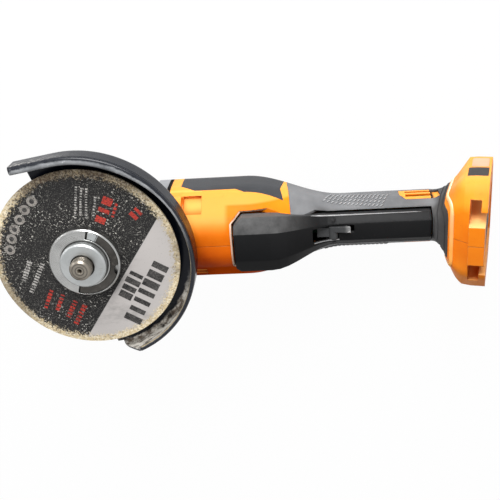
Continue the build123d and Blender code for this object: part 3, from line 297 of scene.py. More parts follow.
def moulded(name, low, high, worn, rough, skinScale, skinDepth, wornShare,
            edge=0.0006, shine=0.15, sides=None, darkCollar=False, wornTip=False):
    v = mouldedValues
    p = Finish(name)
    p.clouded(low, high, v["clouds"])
    if darkCollar:
        p.coat(v["collar"], p.rise(p.x, v["collarX"]), v["collarShare"])
        p.coat(v["brim"], p.rise(p.z, v["brimZ"]), p.rise(p.x, v["brimX"]), v["brimShare"])
    if sides:
        # painted highlight: the side turned to the key light is paler, most of all at the front
        patchy = p.drift(*v["sheenDrift"])
        p.coat(sides[0], p.rise(p.y, v["sheenY"]), v["sheenShare"])
        p.coat(sides[0], p.rise(p.ny, v["sheenFace"]), patchy)
        p.coat(sides[1], p.rise(p.ny, v["frontFace"]), p.fall(p.x, v["frontX"]), patchy)
    scuffs = p.specks(*v["scuffs"])
    p.coat(worn, p.worn(edge, v["edgeTurn"]), scuffs, wornShare)
    p.coat(worn, p.specks(*v["dust"]), wornShare)
    if wornTip:
        p.coat(worn, p.rise(p.x, v["tipX"]), p.spread(scuffs, v["tipSpread"]))  # the fingertip's wear, with a painted glint at the tip
    p.coat(v["shadow"], p.hollow(*v["hollow"]), v["hollowShare"])
    return p.done(p.spread(p.cloud, rough), shine, (skinScale, v["skinDetail"]), skinDepth, v["skinSize"])


# bare metal: fine streaks, either around the spindle or plain
metalValues = {
    "clouds": (80.0, 5.0, 0.65), "stains": ((260.0, 7.0, 0.75), (0.55, 0.72), 0.5), "edge": 0.0005,
    "groove": (0.03, 0.028, 0.026), "grooveIn": 0.0002, "grooveOut": 0.0003, "grooveShare": 0.85,
    "shadow": (0.02, 0.018, 0.016), "hollow": (0.003, (0.2, 0.7)), "hollowShare": 0.7,
    "ringGrain": (3200.0, 3.0, 0.6), "plainGrain": (900.0, 4.0, 0.6), "shine": 0.5, "skin": (0.12, 0.00015),
}


def around(middle, half):
    return middle - half, middle + half


def metal(name, low, high, rough, turned=False, stain=None, grooves=()):
    v = metalValues
    p = Finish(name)
    r = p.radius()
    p.clouded(low, high, v["clouds"])
    if stain:
        p.coat(stain, p.specks(*v["stains"]))
    # dark rings at the given radii: on the nut's flange a painted shadow round the hub
    for inner, outer in grooves:
        p.coat(v["groove"], p.rise(r, around(inner, v["grooveIn"])), p.fall(r, around(outer, v["grooveOut"])),
               v["grooveShare"])
    p.coat(v["shadow"], p.hollow(*v["hollow"]), v["hollowShare"])
    if turned:
        streak = p.noise(*v["ringGrain"], where=p.add("CombineXYZ", r, p.z).outputs[0])
    else:
        streak = p.noise(*v["plainGrain"])
    p.soft = p.rounded(v["edge"])
    return p.done(p.spread(streak, rough), v["shine"], streak, *v["skin"], metallic=1.0)


# guard: gloss black outside, worn to steel along the lip and on the inside
guardValues = {
    # the black paint's blue tint is a painted sheen
    "paint": (0.0035, 0.0052, 0.0100), "steel": (0.46, 0.445, 0.42), "rust": (0.17, 0.14, 0.115),
    "sootAndShade": (0.018, 0.016, 0.014), "rubbed": (0.68, 0.65, 0.59), "brown": (0.105, 0.082, 0.062),
    "ragGrain": (120.0, 6.0, 0.7), "fineGrain": (420.0, 6.0, 0.72), "inside": (-0.045, -0.02), "topFace": (0.4, 0.8),
    "farX": (-0.055, 0.010), "upperY": (0.030, 0.058), "lipZ": (0.0925, 0.0931), "lipR": (0.0712, 0.0724),
    "lipRag": 0.004, "lipCut": (0.36, 0.52), "flankZ": (0.084, 0.0925), "flankCut": (0.44, 0.60),
    "rubZ": (0.086, 0.093), "rubRag": 0.014, "edge": 0.0006, "edgeTurn": (0.05, 0.4), "chipCut": (0.46, 0.58),
    "scratches": ((70.0, 7.0, 0.75, (1.0, 1.0, 6.0)), (0.665, 0.70), 0.5), "steelCut": (0.35, 0.62),
    "streaks": ((85.0, 7.0, 0.75, (1.0, 1.0, 2.5)), (0.44, 0.60)),
    "scourR": (0.0668, 0.0683), "scourRag": 0.006, "floorZ": (0.0782, 0.0830), "wallZ": (0.0776, 0.0780),
    "lowEndY": (-0.036, -0.010), "scours": ((95.0, 7.0, 0.75, (1.0, 1.0, 3.0)), (0.40, 0.58)),
    "smuts": ((60.0, 6.0, 0.7), (0.51, 0.62)), "metallic": 0.35, "gloss": ((220.0, 4.0), (0.15, 0.30)),
    "bareRough": 0.2, "shine": 0.17, "skin": (0.10, 0.0003),
}


def guardEnamel(name):
    v = guardValues
    p = Finish(name)
    rag, fine = p.noise(*v["ragGrain"]), p.noise(*v["fineGrain"])
    r, top = p.radius(), p.rise(p.nz, v["topFace"])
    inside = p.fall(p.outward(), v["inside"])
    far = p.fall(p.x, v["farX"])  # the free end is worn most
    inner = p.fall(p.ragged(r, rag, v["lipRag"]), v["lipR"])
    lip = p.times(top, p.rise(p.z, v["lipZ"]), p.most(inner, far, p.rise(p.y, v["upperY"])), p.rise(fine, v["lipCut"]))
    flank = p.times(far, p.rise(p.z, v["flankZ"]), p.rise(fine, v["flankCut"]))
    rub = p.times(inside, p.rise(p.plus(p.z, p.times(rag, v["rubRag"])), v["rubZ"]))
    chips = p.times(p.worn(v["edge"], v["edgeTurn"]), p.rise(rag, v["chipCut"]))
    # grit has scoured the wall inside the lower end
    floor = p.times(top, p.rise(p.ragged(r, rag, v["scourRag"]), v["scourR"]), p.fall(p.z, v["floorZ"]))
    wall = p.times(inside, p.rise(p.z, v["wallZ"]))
    lowEnd = p.times(p.most(wall, floor), p.fall(p.y, v["lowEndY"]))
    bare = p.most(lip, rub, chips, flank, p.specks(*v["scratches"]), lowEnd)
    steel = p.mix(p.rise(fine, v["steelCut"]), v["rust"], v["steel"])
    steel = p.mix(inside, steel, p.mix(p.specks(*v["streaks"]), v["sootAndShade"], steel))
    scoured = p.mix(p.specks(*v["scours"]), v["brown"], v["rubbed"])
    scoured = p.mix(p.specks(*v["smuts"]), scoured, v["sootAndShade"])
    p.colour = p.mix(bare, v["paint"], p.mix(lowEnd, steel, scoured))
    rough = p.plus(p.drift(*v["gloss"]), p.times(bare, v["bareRough"]))
    return p.done(rough, v["shine"], fine, *v["skin"], metallic=p.times(bare, v["metallic"]))


# rolled lip: enamel outside, rubbed grey on the inner half over the top, a tan edge at the side
lipValues = {
    "paint": guardValues["paint"], "grey": (0.125, 0.132, 0.140), "pale": (0.45, 0.46, 0.47),
    "scratch": (0.70, 0.71, 0.72), "tan": (0.36, 0.30, 0.20), "ragGrain": (150.0, 6.0, 0.7), "rag": 0.05,
    "upperY": (0.004, 0.040), "rubbed": (-0.004, 0.022), "clouds": (60.0, 6.0, 0.7),
    "marks": ((130.0, 7.0, 0.78, (1.0, 2.5, 1.0)), (0.60, 0.67), 0.7), "chips": ((240.0, 7.0, 0.78), (0.63, 0.70), 0.8),
    "chipX": (-0.035, 0.04), "side": (-0.066, -0.050), "sideShare": 0.9,
    "gloss": ((180.0, 5.0), (0.20, 0.38)), "shine": 0.36,
    "skin": ((420.0, 5.0, 0.7), 0.08, 0.0003),
}


def rolledLip(name):
    v = lipValues
    p = Finish(name)
    edge = p.ragged(p.outward(), p.noise(*v["ragGrain"]), v["rag"])
    upper = p.rise(p.y, v["upperY"])
    p.clouded(v["grey"], v["pale"], v["clouds"])
    p.coat(v["scratch"], p.specks(*v["marks"]))
    p.colour = p.mix(p.times(p.fall(edge, v["rubbed"]), upper), v["paint"], p.colour)
    p.coat(v["scratch"], p.specks(*v["chips"]), p.fall(p.x, v["chipX"]))
    p.coat(v["tan"], p.fall(edge, v["side"]), p.rest(upper), v["sideShare"])
    return p.done(p.drift(*v["gloss"]), v["shine"], *v["skin"])


# cutting disc: charcoal print with pale grit, tan worn rim with a painted shadow over its top, pale segment beyond a
# chord
discValues = {
    "print": (0.010, 0.0095, 0.0095), "grit": (0.76, 0.73, 0.66), "clouds": (55.0, 5.0, 0.65), "cloudCut": (0.38, 0.58),
    "dots": ((640.0, 4.0, 0.75), (0.585, 0.625)), "fine": ((1900.0, 2.0, 0.6), (0.60, 0.66), 0.20), "dotShare": 0.95,
    "segment": (0.50, 0.47, 0.45), "smeared": (0.36, 0.34, 0.325), "nicked": (0.16, 0.15, 0.14),
    "chordX": 0.8231, "chordY": -0.5679, "chord": (0.0263, 0.0267),
    "smears": ((38.0, 6.0, 0.7, (1.0, 2.2, 1.0)), (0.50, 0.72)), "nicks": ((1300.0, 3.0, 0.7), (0.64, 0.70), 0.5),
    "rim": (0.60, 0.48, 0.29), "rimPale": (0.80, 0.71, 0.53), "rimDark": (0.10, 0.07, 0.045),
    "burnt": (0.11, 0.085, 0.06), "shadowTone": (0.070, 0.046, 0.032), "rimR": (0.0571, 0.0593),
    "rags": (((420.0, 6.0, 0.75), 0.013), ((1100.0, 3.0, 0.7), 0.012)), "tans": ((620.0, 4.0, 0.7), (0.44, 0.60)),
    "pits": ((800.0, 4.0, 0.75, (1.0, 1.0, 1.3)), (0.56, 0.62), 0.85), "burns": ((30.0, 4.0, 0.6), (0.48, 0.62), 0.6),
    "shadowY": (0.034, 0.054), "shadowSpecks": ((700.0, 5.0, 0.75), (0.43, 0.57)), "shadowSpread": (0.40, 1.0),
    "shadowShare": 0.92, "rough": (0.62, 0.85), "shine": 0.25,
    "gritGrain": (1600.0, 3.0, 0.7), "rimGrain": (700.0, 3.0), "skin": (0.35, 0.0004),
}


def abrasiveDisc(name):
    v = discValues
    p = Finish(name)
    cloud = p.noise(*v["clouds"])
    dots = p.most(p.times(p.specks(*v["dots"]), p.rise(cloud, v["cloudCut"])), p.specks(*v["fine"]))
    p.colour = p.mix(p.times(dots, v["dotShare"]), v["print"], v["grit"])
    along = p.plus(p.times(p.x, v["chordX"]), p.times(p.y, v["chordY"]))
    segment = p.mix(p.specks(*v["smears"]), v["segment"], v["smeared"])
    p.coat(p.mix(p.specks(*v["nicks"]), segment, v["nicked"]), p.rise(along, v["chord"]))
    # worn rim, its inner edge ragged
    reach = p.radius()
    for grain, rag in v["rags"]:
        reach = p.ragged(reach, p.noise(*grain), rag)
    rim = p.rise(reach, v["rimR"])
    tan = p.mix(p.specks(*v["tans"]), v["rim"], v["rimPale"])
    tan = p.mix(p.specks(*v["pits"]), tan, v["rimDark"])
    tan = p.mix(p.specks(*v["burns"]), tan, v["burnt"])
    # painted shadow of the guard's lip over the rim's top, broken by specks
    topShadow = p.times(p.rise(p.y, v["shadowY"]), p.spread(p.specks(*v["shadowSpecks"]), v["shadowSpread"]), v["shadowShare"])
    p.coat(p.mix(topShadow, tan, v["shadowTone"]), rim)
    grit = p.plus(p.noise(*v["gritGrain"]), p.times(rim, p.noise(*v["rimGrain"])))
    return p.done(p.spread(cloud, v["rough"]), v["shine"], grit, *v["skin"])


# ink on the disc and the nut, flaked off in part
inkValues = {
    "flakes": ((950.0, 5.0, 0.75), (0.50, 0.58)), "flakeShare": 0.7, "patches": ((130.0, 4.0), (0.40, 0.62), 0.3),
    "rough": (0.55, 0.8), "shine": 0.3, "skin": ((1600.0, 3.0, 0.7), 0.3, 0.0003),
}


def printInk(name, ink, worn, share):
    v = inkValues
    p = Finish(name)
    flakes = p.specks(*v["flakes"])
    gone = p.plus(p.times(flakes, v["flakeShare"]), p.specks(*v["patches"]))
    p.colour = p.mix(p.times(gone, share), ink, worn)
    return p.done(p.spread(flakes, v["rough"]), v["shine"], *v["skin"])


leverTones = ((0.035, 0.036, 0.037), (0.070, 0.071, 0.072))
# painted highlight: cream on the foot lip's side turned to the key light
lipHighlightCream = (1.0, 0.88, 0.68)
plastics = {
    # name: (tone from, to, worn tone, roughness, skin's scale, its depth, worn share, what else differs)
    "panel_dark": ((0.040, 0.042, 0.046), (0.060, 0.062, 0.066), 0.17, (0.45, 0.62), 2400.0, 0.25, 0.5, {}),
    "grip_rubber": ((0.135, 0.138, 0.143), (0.215, 0.218, 0.223), (0.38, 0.37, 0.36), (0.55, 0.78), 1700.0, 0.35, 0.5,
                    {"darkCollar": True}),
    "paddle_black": ((0.0020, 0.0022, 0.0025), (0.0045, 0.0047, 0.0052), 0.07, (0.34, 0.50), 2200.0, 0.18, 0.4,
                     {"edge": 0.0025, "shine": 0.08, "sides": ((0.045, 0.045, 0.046), (0.120, 0.119, 0.118))}),
    "lever_grey": (*leverTones, 0.50, (0.3, 0.45), 2200.0, 0.2, 0.8, {}),
    "lever_worn_glint": (*leverTones, (0.55, 0.55, 0.54), (0.3, 0.45), 2200.0, 0.2, 0.9, {"wornTip": True}),
    "inner_black": ((0.010, 0.010, 0.011), (0.02, 0.02, 0.021), 0.06, (0.4, 0.6), 2000.0, 0.2, 0.3, {}),
    "baffle_black": (0.003, 0.006, 0.04, (0.5, 0.7), 2000.0, 0.2, 0.2, {"shine": 0.04}),
    "board_green": ((0.005, 0.022, 0.012), (0.008, 0.034, 0.018), (0.3, 0.3, 0.2), (0.3, 0.5), 1500.0, 0.1, 0.3, {}),
    # painted highlight: the tread's dashes are a paler copy of the grip's rubber
    "tread_rubber": ((0.30, 0.303, 0.308), (0.42, 0.423, 0.428), (0.62, 0.61, 0.60), (0.5, 0.7), 1700.0, 0.3, 0.7, {}),
    "collar_rubber": ((0.020, 0.020, 0.021), (0.034, 0.034, 0.035), 0.12, (0.5, 0.7), 1700.0, 0.3, 0.5, {}),
    "opening_edge": ((0.80, 0.45, 0.28), (0.90, 0.68, 0.54), (0.95, 0.85, 0.76), (0.4, 0.55), 1500.0, 0.2, 0.6, {}),
    "lip_cream": ((0.90, 0.31, 0.030), (0.96, 0.44, 0.110), (1.0, 0.80, 0.56), (0.4, 0.55), 1500.0, 0.2, 0.6,
                  {"sides": (lipHighlightCream, lipHighlightCream)}),
    "plate_peach": ((0.66, 0.33, 0.20), (0.76, 0.42, 0.28), (0.55, 0.30, 0.16), (0.4, 0.55), 1500.0, 0.2, 0.5, {}),
    "pocket_rim": (0.16, 0.34, 0.55, (0.35, 0.5), 2000.0, 0.15, 0.7, {}),
    "edge_rubbed": (0.26, 0.52, (0.80, 0.79, 0.78), (0.32, 0.45), 2000.0, 0.15, 0.7, {}),
}
metals = {
    # name: (tone from, to, roughness, turned, stain, radii of dark rings: a painted shadow in the flange's gap round
    # the hub, dark rings on the spindle's end)
    "cast_alloy": ((0.38, 0.39, 0.41), (0.53, 0.54, 0.56), (0.34, 0.52), False, (0.25, 0.25, 0.26)),
    "nut_flange_steel": ((0.34, 0.34, 0.335), (0.46, 0.46, 0.45), (0.22, 0.34), True, (0.24, 0.22, 0.20),
                         ((0.0150, 0.0163),)),
    "spindle_steel": ((0.17, 0.150, 0.125), (0.27, 0.245, 0.21), (0.26, 0.40), True, (0.08, 0.065, 0.05),
                      ((0.0026, 0.0031), (0.0047, 0.0051))),
    "turned_steel": ((0.50, 0.49, 0.47), (0.66, 0.65, 0.63), (0.20, 0.38), True, (0.22, 0.19, 0.16)),
    "satin_hub": ((0.36, 0.375, 0.375), (0.45, 0.465, 0.465), (0.38, 0.5), True, (0.30, 0.29, 0.28)),
    "bail_dark": ((0.045, 0.042, 0.038), (0.085, 0.08, 0.074), (0.30, 0.45), True, (0.22, 0.20, 0.18)),
    "dark_steel": ((0.10, 0.10, 0.105), (0.18, 0.18, 0.185), (0.3, 0.5), False, (0.05, 0.04, 0.035)),
    "lamination": ((0.22, 0.22, 0.23), (0.32, 0.32, 0.33), (0.4, 0.6)),
    "copper_wire": ((0.52, 0.19, 0.07), (0.68, 0.28, 0.11), (0.28, 0.45)),
}
inks = {
    # name: (ink, tone where it is worn off, share worn off)
    "print_white": ((0.50, 0.48, 0.45), (0.02, 0.019, 0.018), 1.1),
    "print_red": ((0.46, 0.040, 0.026), (0.02, 0.018, 0.017), 0.95),
    "print_dark": ((0.011, 0.0105, 0.0105), (0.34, 0.32, 0.30), 0.30),
    "print_mark": ((0.33, 0.305, 0.275), (0.06, 0.055, 0.05), 0.9),
}
looks = {"shell_orange": orangeShell("shell_orange", True), "trim_orange": orangeShell("trim_orange", False),
         "guard_enamel": guardEnamel("guard_enamel"), "rolled_lip": rolledLip("rolled_lip"),
         "abrasive_disc": abrasiveDisc("abrasive_disc")}
for name, (*row, others) in plastics.items():
    looks[name] = moulded(name, *row, **others)
for name, row in metals.items():
    looks[name] = metal(name, *row)
for name, row in inks.items():
    looks[name] = printInk(name, *row)
print("materials made")

dressed = {
    "shell_orange": ["housing_left", "housing_right"],
    "trim_orange": ["vent_insert_left", "vent_insert_right"],
    "panel_dark": ["side_panel_left", "side_panel_right"],
    "grip_rubber": ["grip_left", "grip_right", "latch_pads", "dust_seal"],
    "paddle_black": ["paddle"],
    "lever_worn_glint": ["lock_lever"],
    "lever_grey": ["control_module", "switch_plunger"],
    "inner_black": ["lock_button", "fan", "trigger_switch", "terminal_block"],
    "baffle_black": ["fan_baffle"],
    "board_green": ["circuit_board"],
    "guard_enamel": ["guard", "guard_band"],
    "abrasive_disc": ["cutting_disc"],
    "nut_flange_steel": ["nut_flange"],
    "satin_hub": ["nut_hub"],
    "bail_dark": ["nut_bail"],
    "spindle_steel": ["spindle"],
    "cast_alloy": ["gear_case", "bearing_plate"],
    "dark_steel": ["ring_gear", "gear_circlip", "pinion", "bearing_plate_screws", "housing_screws"],
    "turned_steel": ["inner_flange", "bail_pins", "gear_case_screws", "spindle_needle_bearing", "spindle_bearing",
                     "lock_spring", "guard_lever", "guard_lever_pin", "motor_shaft", "pinion_bearing",
                     "rear_motor_bearing", "paddle_hinge_pin", "paddle_spring", "lock_lever_pin"],
    "lamination": ["rotor_core", "stator_core"],
    "copper_wire": ["stator_coils", "battery_contacts"],
}
for look, names in dressed.items():
    for name in names:
        mesh = nodes[name].data
        mesh.materials.clear()
        mesh.materials.append(looks[look])
print("CAD nodes dressed")


def pieceFrom(bm, name, look, body, slotName, smooth=False):
    mesh = bpy.data.meshes.new(name)
    bmesh.ops.recalc_face_normals(bm, faces=bm.faces)
    bm.normal_update()
    bm.to_mesh(mesh)
    bm.free()
    for face in mesh.polygons:
        face.use_smooth = smooth
    mesh.materials.append(looks[look])
    obj = bpy.data.objects.new(name, mesh)
    scene.collection.objects.link(obj)
    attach(obj, body)
    return obj


# skins over rings of points, each closed into a loop or capped at both ends
def tubePiece(tubes, *about, closed=False):
    bm = bmesh.new()
    for spotRings in tubes:
        rings = [[bm.verts.new(spot) for spot in spots] for spots in spotRings]
        count = len(rings[0])
        for a, b in zip(rings, rings[1:] + rings[:1] if closed else rings[1:]):
            for k in range(count):
                bm.faces.new((a[k], a[(k + 1) % count], b[(k + 1) % count], b[k]))
        if not closed:
            bm.faces.new(rings[0])
            bm.faces.new(list(reversed(rings[-1])))
    return pieceFrom(bm, *about)


def circle(middle, along, across, radius, count):
    turns = [2 * math.pi * k / count for k in range(count)]
    return [middle + (along * math.cos(a) + across * math.sin(a)) * radius for a in turns]


def halfRound(at, across, out, width, height):
    turns = [math.pi * k / 7 for k in range(8)]
    return [at + across * (width / 2 * math.cos(a)) + out * (height * math.sin(a) - sunk) for a in turns]


def outAt(degrees):
    a = math.radians(degrees)
    return Vector((math.cos(a), math.sin(a), 0))


def between(start, end, share):
    return start + (end - start) * share


# generic print on the disc: plain bars and round marks, no letters
printValues = {"thick": 0.04 * mm, "seed": 7, "wide": (0.55, 1.15), "tall": (0.86, 1.0)}
barRows = {
    # ink: (start mm, end mm, bar height mm, bars, gap share)
    "dark": [((50.5, -4.5), (23.5, -49.0), 12.6, 7, 0.17), ((33.4, -10.6), (21.2, -30.0), 10.5, 4, 0.2)],
    "white": [((1.4, 51.5), (-3.0, 29.1), 1.5, 13, 0.35), ((4.6, 50.6), (0.4, 29.0), 1.5, 12, 0.35),
              ((7.8, 49.9), (4.2, 28.7), 1.5, 12, 0.35), ((12.8, 44.1), (9.1, 29.9), 1.6, 7, 0.35),
              ((-38.4, 0.5), (-45.8, -14.5), 3.6, 8, 0.3), ((-30.0, -1.3), (-42.2, -23.4), 3.4, 12, 0.3)],
    "red": [((21.5, 43.2), (12.0, 24.5), 7.6, 3, 0.25), ((26.0, 38.8), (21.4, 28.3), 2.0, 4, 0.3),
            ((40.8, 33.6), (34.0, 28.0), 6.5, 2, 0.25), ((-27.3, -21.3), (-34.4, -35.7), 2.8, 6, 0.3),
            ((-20.0, -24.8), (-26.5, -37.6), 3.0, 5, 0.3), ((-12.1, -30.0), (-20.0, -43.6), 3.6, 6, 0.3),
            ((-6.2, -33.8), (-15.6, -49.0), 3.6, 6, 0.3)],
}
chance = random.Random(printValues["seed"])
for ink, rows in barRows.items():
    bm = bmesh.new()
    for start, end, height, count, gap in rows:
        a, b = Vector((*start, 0)) * mm, Vector((*end, 0)) * mm
        run = b - a
        turn = Matrix.Rotation(math.atan2(run.y, run.x), 4, "Z")
        for i in range(count):
            centre = a + run * ((i + 0.5) / count)
            wide = run.length / count * (1 - gap) * chance.uniform(*printValues["wide"])
            tall = height * mm * chance.uniform(*printValues["tall"])
            size = Matrix.Diagonal((wide, tall, printValues["thick"], 1))
            spot = Matrix.Translation((centre.x, centre.y, discTop + printValues["thick"] / 2))
            bmesh.ops.create_cube(bm, size=1, matrix=spot @ turn @ size)
    pieceFrom(bm, "disc_print_" + ink, "print_" + ink, "spindle", "abrasive")

markValues = {
    "spots": [(-29.4, 42.5), (-35.2, 36.9), (-39.8, 30.2), (-44.5, 23.6), (-47.8, 17.0), (-50.4, 9.2)],  # mm
    "taper": 0.96, "segments": 28,
    # name, ink, radius, thickness
    "rounds": [("disc_marks", "print_mark", 3.5 * mm, 0.04 * mm),
               ("disc_mark_cores", "print_dark", 1.7 * mm, 0.064 * mm)],
}
for name, ink, radius, thick in markValues["rounds"]:
    bm = bmesh.new()
    for x, y in markValues["spots"]:
        spot = Matrix.Translation((x * mm, y * mm, discTop + thick / 2))
        bmesh.ops.create_cone(bm, cap_ends=True, segments=markValues["segments"], radius1=radius,
                              radius2=markValues["taper"] * radius, depth=thick, matrix=spot)
    pieceFrom(bm, name, ink, "spindle", "abrasive")
print("disc print made")


# thread ridge on the spindle's free end
threadValues = {"pitch": 2.0 * mm, "root": 6.98 * mm, "crest": 7.28 * mm, "start": 97.6 * mm, "end": 103.0 * mm,
                "steps": 40, "fade": 10, "sunk": 0.1 * mm, "foot": 0.42, "flat": 0.08}


def threadRidge():
    v = threadValues
    count = int((v["end"] - v["start"]) / v["pitch"] * v["steps"])
    root = v["root"] - v["sunk"]
    rings = []
    for i in range(count + 1):
        out = outAt(360 * i / v["steps"])
        z = v["start"] + v["pitch"] * i / v["steps"]
        crest = between(v["root"], v["crest"], min(1.0, i / v["fade"], (count - i) / v["fade"]))
        rings.append([out * radius + Vector((0, 0, z + off * v["pitch"])) for radius, off in
                      ((root, -v["foot"]), (crest, -v["flat"]), (crest, v["flat"]), (root, v["foot"]))])
    tubePiece([rings], "spindle_thread", "spindle_steel", "spindle", "bare_steel", True)


threadRidge()
print("thread made")


# surfaces that small pieces are set on
def surfaceOf(*names):
    verts, faces = [], []
    for name in names:
        mesh = nodes[name].data
        start = len(verts)
        verts += [v.co.copy() for v in mesh.vertices]
        faces += [[start + i for i in f.vertices] for f in mesh.polygons]
    return BVHTree.FromPolygons(verts, faces)


def fromSide(skin, x, z, sign):
    return skin.ray_cast(Vector((x, sign * castFrom, z)), Vector((0, -sign, 0)))[:2]


def fromAbove(skin, x, y):
    return skin.ray_cast(Vector((x, y, castAbove)), Vector((0, 0, -1)))[0]


shellSkin = surfaceOf("housing_left", "housing_right")
gripSkin = surfaceOf("grip_left", "grip_right", "housing_left", "housing_right")
paddleSkin = surfaceOf("paddle")
bothSides = ((1, "left"), (-1, "right"))

# moulded tread on the grip: rows of slanted dashes
treadValues = {"firstX": 163.0 * mm, "pitch": 2.75 * mm, "columns": 15, "rows": 4, "rowPitch": 2.6 * mm,
               "rowShift": 0.5, "topH": -1.6 * mm, "slope": 0.10, "length": 3.1 * mm, "width": 0.9 * mm,
               "high": 0.6 * mm, "lean": 48.0, "shoulder": 0.06 * mm, "shoulderHigh": 0.39 * mm, "crown": 0.28 * mm}


def dashRings(at, normal):
    v = treadValues
    lean = math.radians(v["lean"])
    along = Vector((math.cos(lean), 0, -math.sin(lean)))
    along = (along - normal * along.dot(normal)).normalized()
    across = normal.cross(along)
    rings = []
    for inset, lift in ((0.0, -sunk), (v["shoulder"], v["shoulderHigh"]), (v["crown"], v["high"])):
        half, wide = v["length"] / 2 - inset, v["width"] / 2 - inset
        ring = []
        for end, start in ((1, -90), (-1, 90)):
            for k in range(5):
                turn = outAt(start + 45 * k) * wide
                ring.append(at + along * (end * (half - wide) + turn.x) + across * turn.y + normal * lift)
        rings.append(ring)
    return rings


def gripTread(sign, side):
    v = treadValues
    dashes = []
    for row in range(v["rows"]):
        for col in range(v["columns"]):
            x = v["firstX"] + (col - row * v["rowShift"]) * v["pitch"]
            z = axisZ + v["topH"] + row * v["rowPitch"] + (x - v["firstX"]) * v["slope"]
            hit, normal = fromSide(gripSkin, x, z, sign)
            if hit:
                dashes.append(dashRings(hit, normal))
    tubePiece(dashes, "grip_tread_" + side, "tread_rubber", "tool", "grip_rubber", True)


for sign, side in bothSides:
    gripTread(sign, side)
print("grip tread made")


# beads round the collar: the foot's pale lip and two folds in the rubber
beadValues = {"topX": 237.5 * mm, "lowX": 250.5 * mm, "bend": 20.0 * mm, "points": 144, "rounds": 6, "smooth": 2}
beadRings = [
    # name, shift along, width, height, look, slot
    ("foot_lip", 2.0 * mm, 3.4 * mm, 0.9 * mm, "lip_cream", "orange_shell"),
    ("collar_fold_front", -4.6 * mm, 1.0 * mm, 0.45 * mm, "collar_rubber", "grip_rubber"),
    ("collar_fold_rear", -1.6 * mm, 1.3 * mm, 0.55 * mm, "collar_rubber", "grip_rubber"),
]


def collarBead(name, shift, width, height, look, slotName):
    v = beadValues
    loop = []
    for i in range(v["points"]):
        a = 2 * math.pi * i / v["points"]
        out = Vector((0, math.cos(a), math.sin(a)))
        h = 0.0
        for _ in range(v["rounds"]):
            # the rubber's rear edge leans between two upright runs
            along = min(1.0, max(0.0, (v["bend"] - h) / (2 * v["bend"])))
            x = between(v["topX"], v["lowX"], along) + shift
            hit, normal = gripSkin.ray_cast(Vector((x, 0, axisZ)) + out * castFrom, -out)[:2]
            h = hit.z - axisZ
        loop.append((hit, normal))
    rings = []
    for i, (hit, normal) in enumerate(loop):
        nearby = range(i - v["smooth"], i + v["smooth"] + 1)
        soft = sum((loop[k % len(loop)][1] for k in nearby), Vector()).normalized()
        onward = (loop[(i + 1) % len(loop)][0] - loop[i - 1][0]).normalized()
        soft = (soft - onward * soft.dot(onward)).normalized()
        rings.append(halfRound(hit, onward.cross(soft), soft, width, height))
    tubePiece([rings], name, look, "tool", slotName, True, closed=True)


for bead in beadRings:
    collarBead(*bead)
print("collar beads made")


# pale inner trim round the front of the paddle's opening
trimValues = {
    "front": 95.2 * mm, "half": 21.0 * mm, "cornerLeft": 6.6 * mm, "cornerRight": 4.2 * mm, "sideEnd": 127.0 * mm,
    "tail": 4.0 * mm, "stride": 2.5 * mm, "width": 1.4 * mm, "slim": 1.1 * mm, "proud": 0.05 * mm, "outside": 0.5 * mm,
    "overlap": 0.05 * mm,
    # share of the width, lift
    "profile": [(0.0, -2.4 * mm), (0.0, 0.0), (0.35, 0.12 * mm), (0.8, 0.05 * mm), (1.0, -0.2 * mm), (1.0, -2.4 * mm)],
}


def openingTrim():
    v = trimValues
    f, h, left, right = v["front"], v["half"], v["cornerLeft"], v["cornerRight"]
    corners = [Vector((x, y, 0)) for x, y in ((v["sideEnd"], h), (f + left, h), (f, h - left), (f, -h + right),
                                              (f + right, -h), (f + right + v["tail"], -h))]
    path = []
    for a, b in zip(corners, corners[1:]):
        inward = Vector((-(b - a).y, (b - a).x, 0)).normalized()
        count = max(2, int((b - a).length / v["stride"]))
        path += [(a.lerp(b, i / count), inward) for i in range(count)]
    path.append((corners[-1], inward))
    rings = []
    for at, inward in path:
        beside = at - inward * v["outside"]
        top = fromAbove(shellSkin, beside.x, beside.y).z + v["proud"]
        wide = v["slim"] if abs(inward.x) < 0.1 else v["width"]  # slimmer along the sides
        rings.append([at + inward * (share * wide - v["overlap"]) + Vector((0, 0, top + lift))
                      for share, lift in v["profile"]])
    tubePiece([rings], "opening_trim", "opening_edge", "tool", "orange_shell")


openingTrim()
print("opening trim made")


# plain pale plate above each latch pad
plateValues = {"depth": (2.2 * mm, 13.2 * mm), "length": (-9.0 * mm, 8.2 * mm), "round": 1.6 * mm, "thick": 0.25 * mm,
               "shoulder": 0.15 * mm, "bevel": 0.12 * mm, "sunk": 0.3 * mm, "origin": (256.5 * mm, 0.0, axisZ),
               "tilt": 14.0}


def footPlate(sign, side):
    v = plateValues
    tilt = outAt(v["tilt"])
    deep, up = Vector((tilt.x, 0, tilt.y)), Vector((-tilt.y, 0, tilt.x))
    (d0, d1), (w0, w1), r = v["depth"], v["length"], v["round"]
    rim = []
    for cd, cw, start in ((d1 - r, w1 - r, 0), (d0 + r, w1 - r, 90), (d0 + r, w0 + r, 180), (d1 - r, w0 + r, 270)):
        for k in range(5):
            turn = outAt(start + 22.5 * k) * r
            rim.append((cd + turn.x, cw + turn.y))
    rings = []
    for inset, lift in ((0.0, -v["sunk"]), (0.0, v["shoulder"]), (v["bevel"], v["thick"])):
        ring = []
        for d, w in rim:
            d -= inset * (1 if d > (d0 + d1) / 2 else -1)
            w -= inset * (1 if w > (w0 + w1) / 2 else -1)
            spot = Vector(v["origin"]) + deep * d + up * w
            ring.append(fromSide(shellSkin, spot.x, spot.z, sign)[0] + Vector((0, sign * lift, 0)))
        rings.append(ring)
    tubePiece([rings], "foot_plate_" + side, "plate_peach", "tool", "orange_shell")


for sign, side in bothSides:
    footPlate(sign, side)
print("foot plates made")


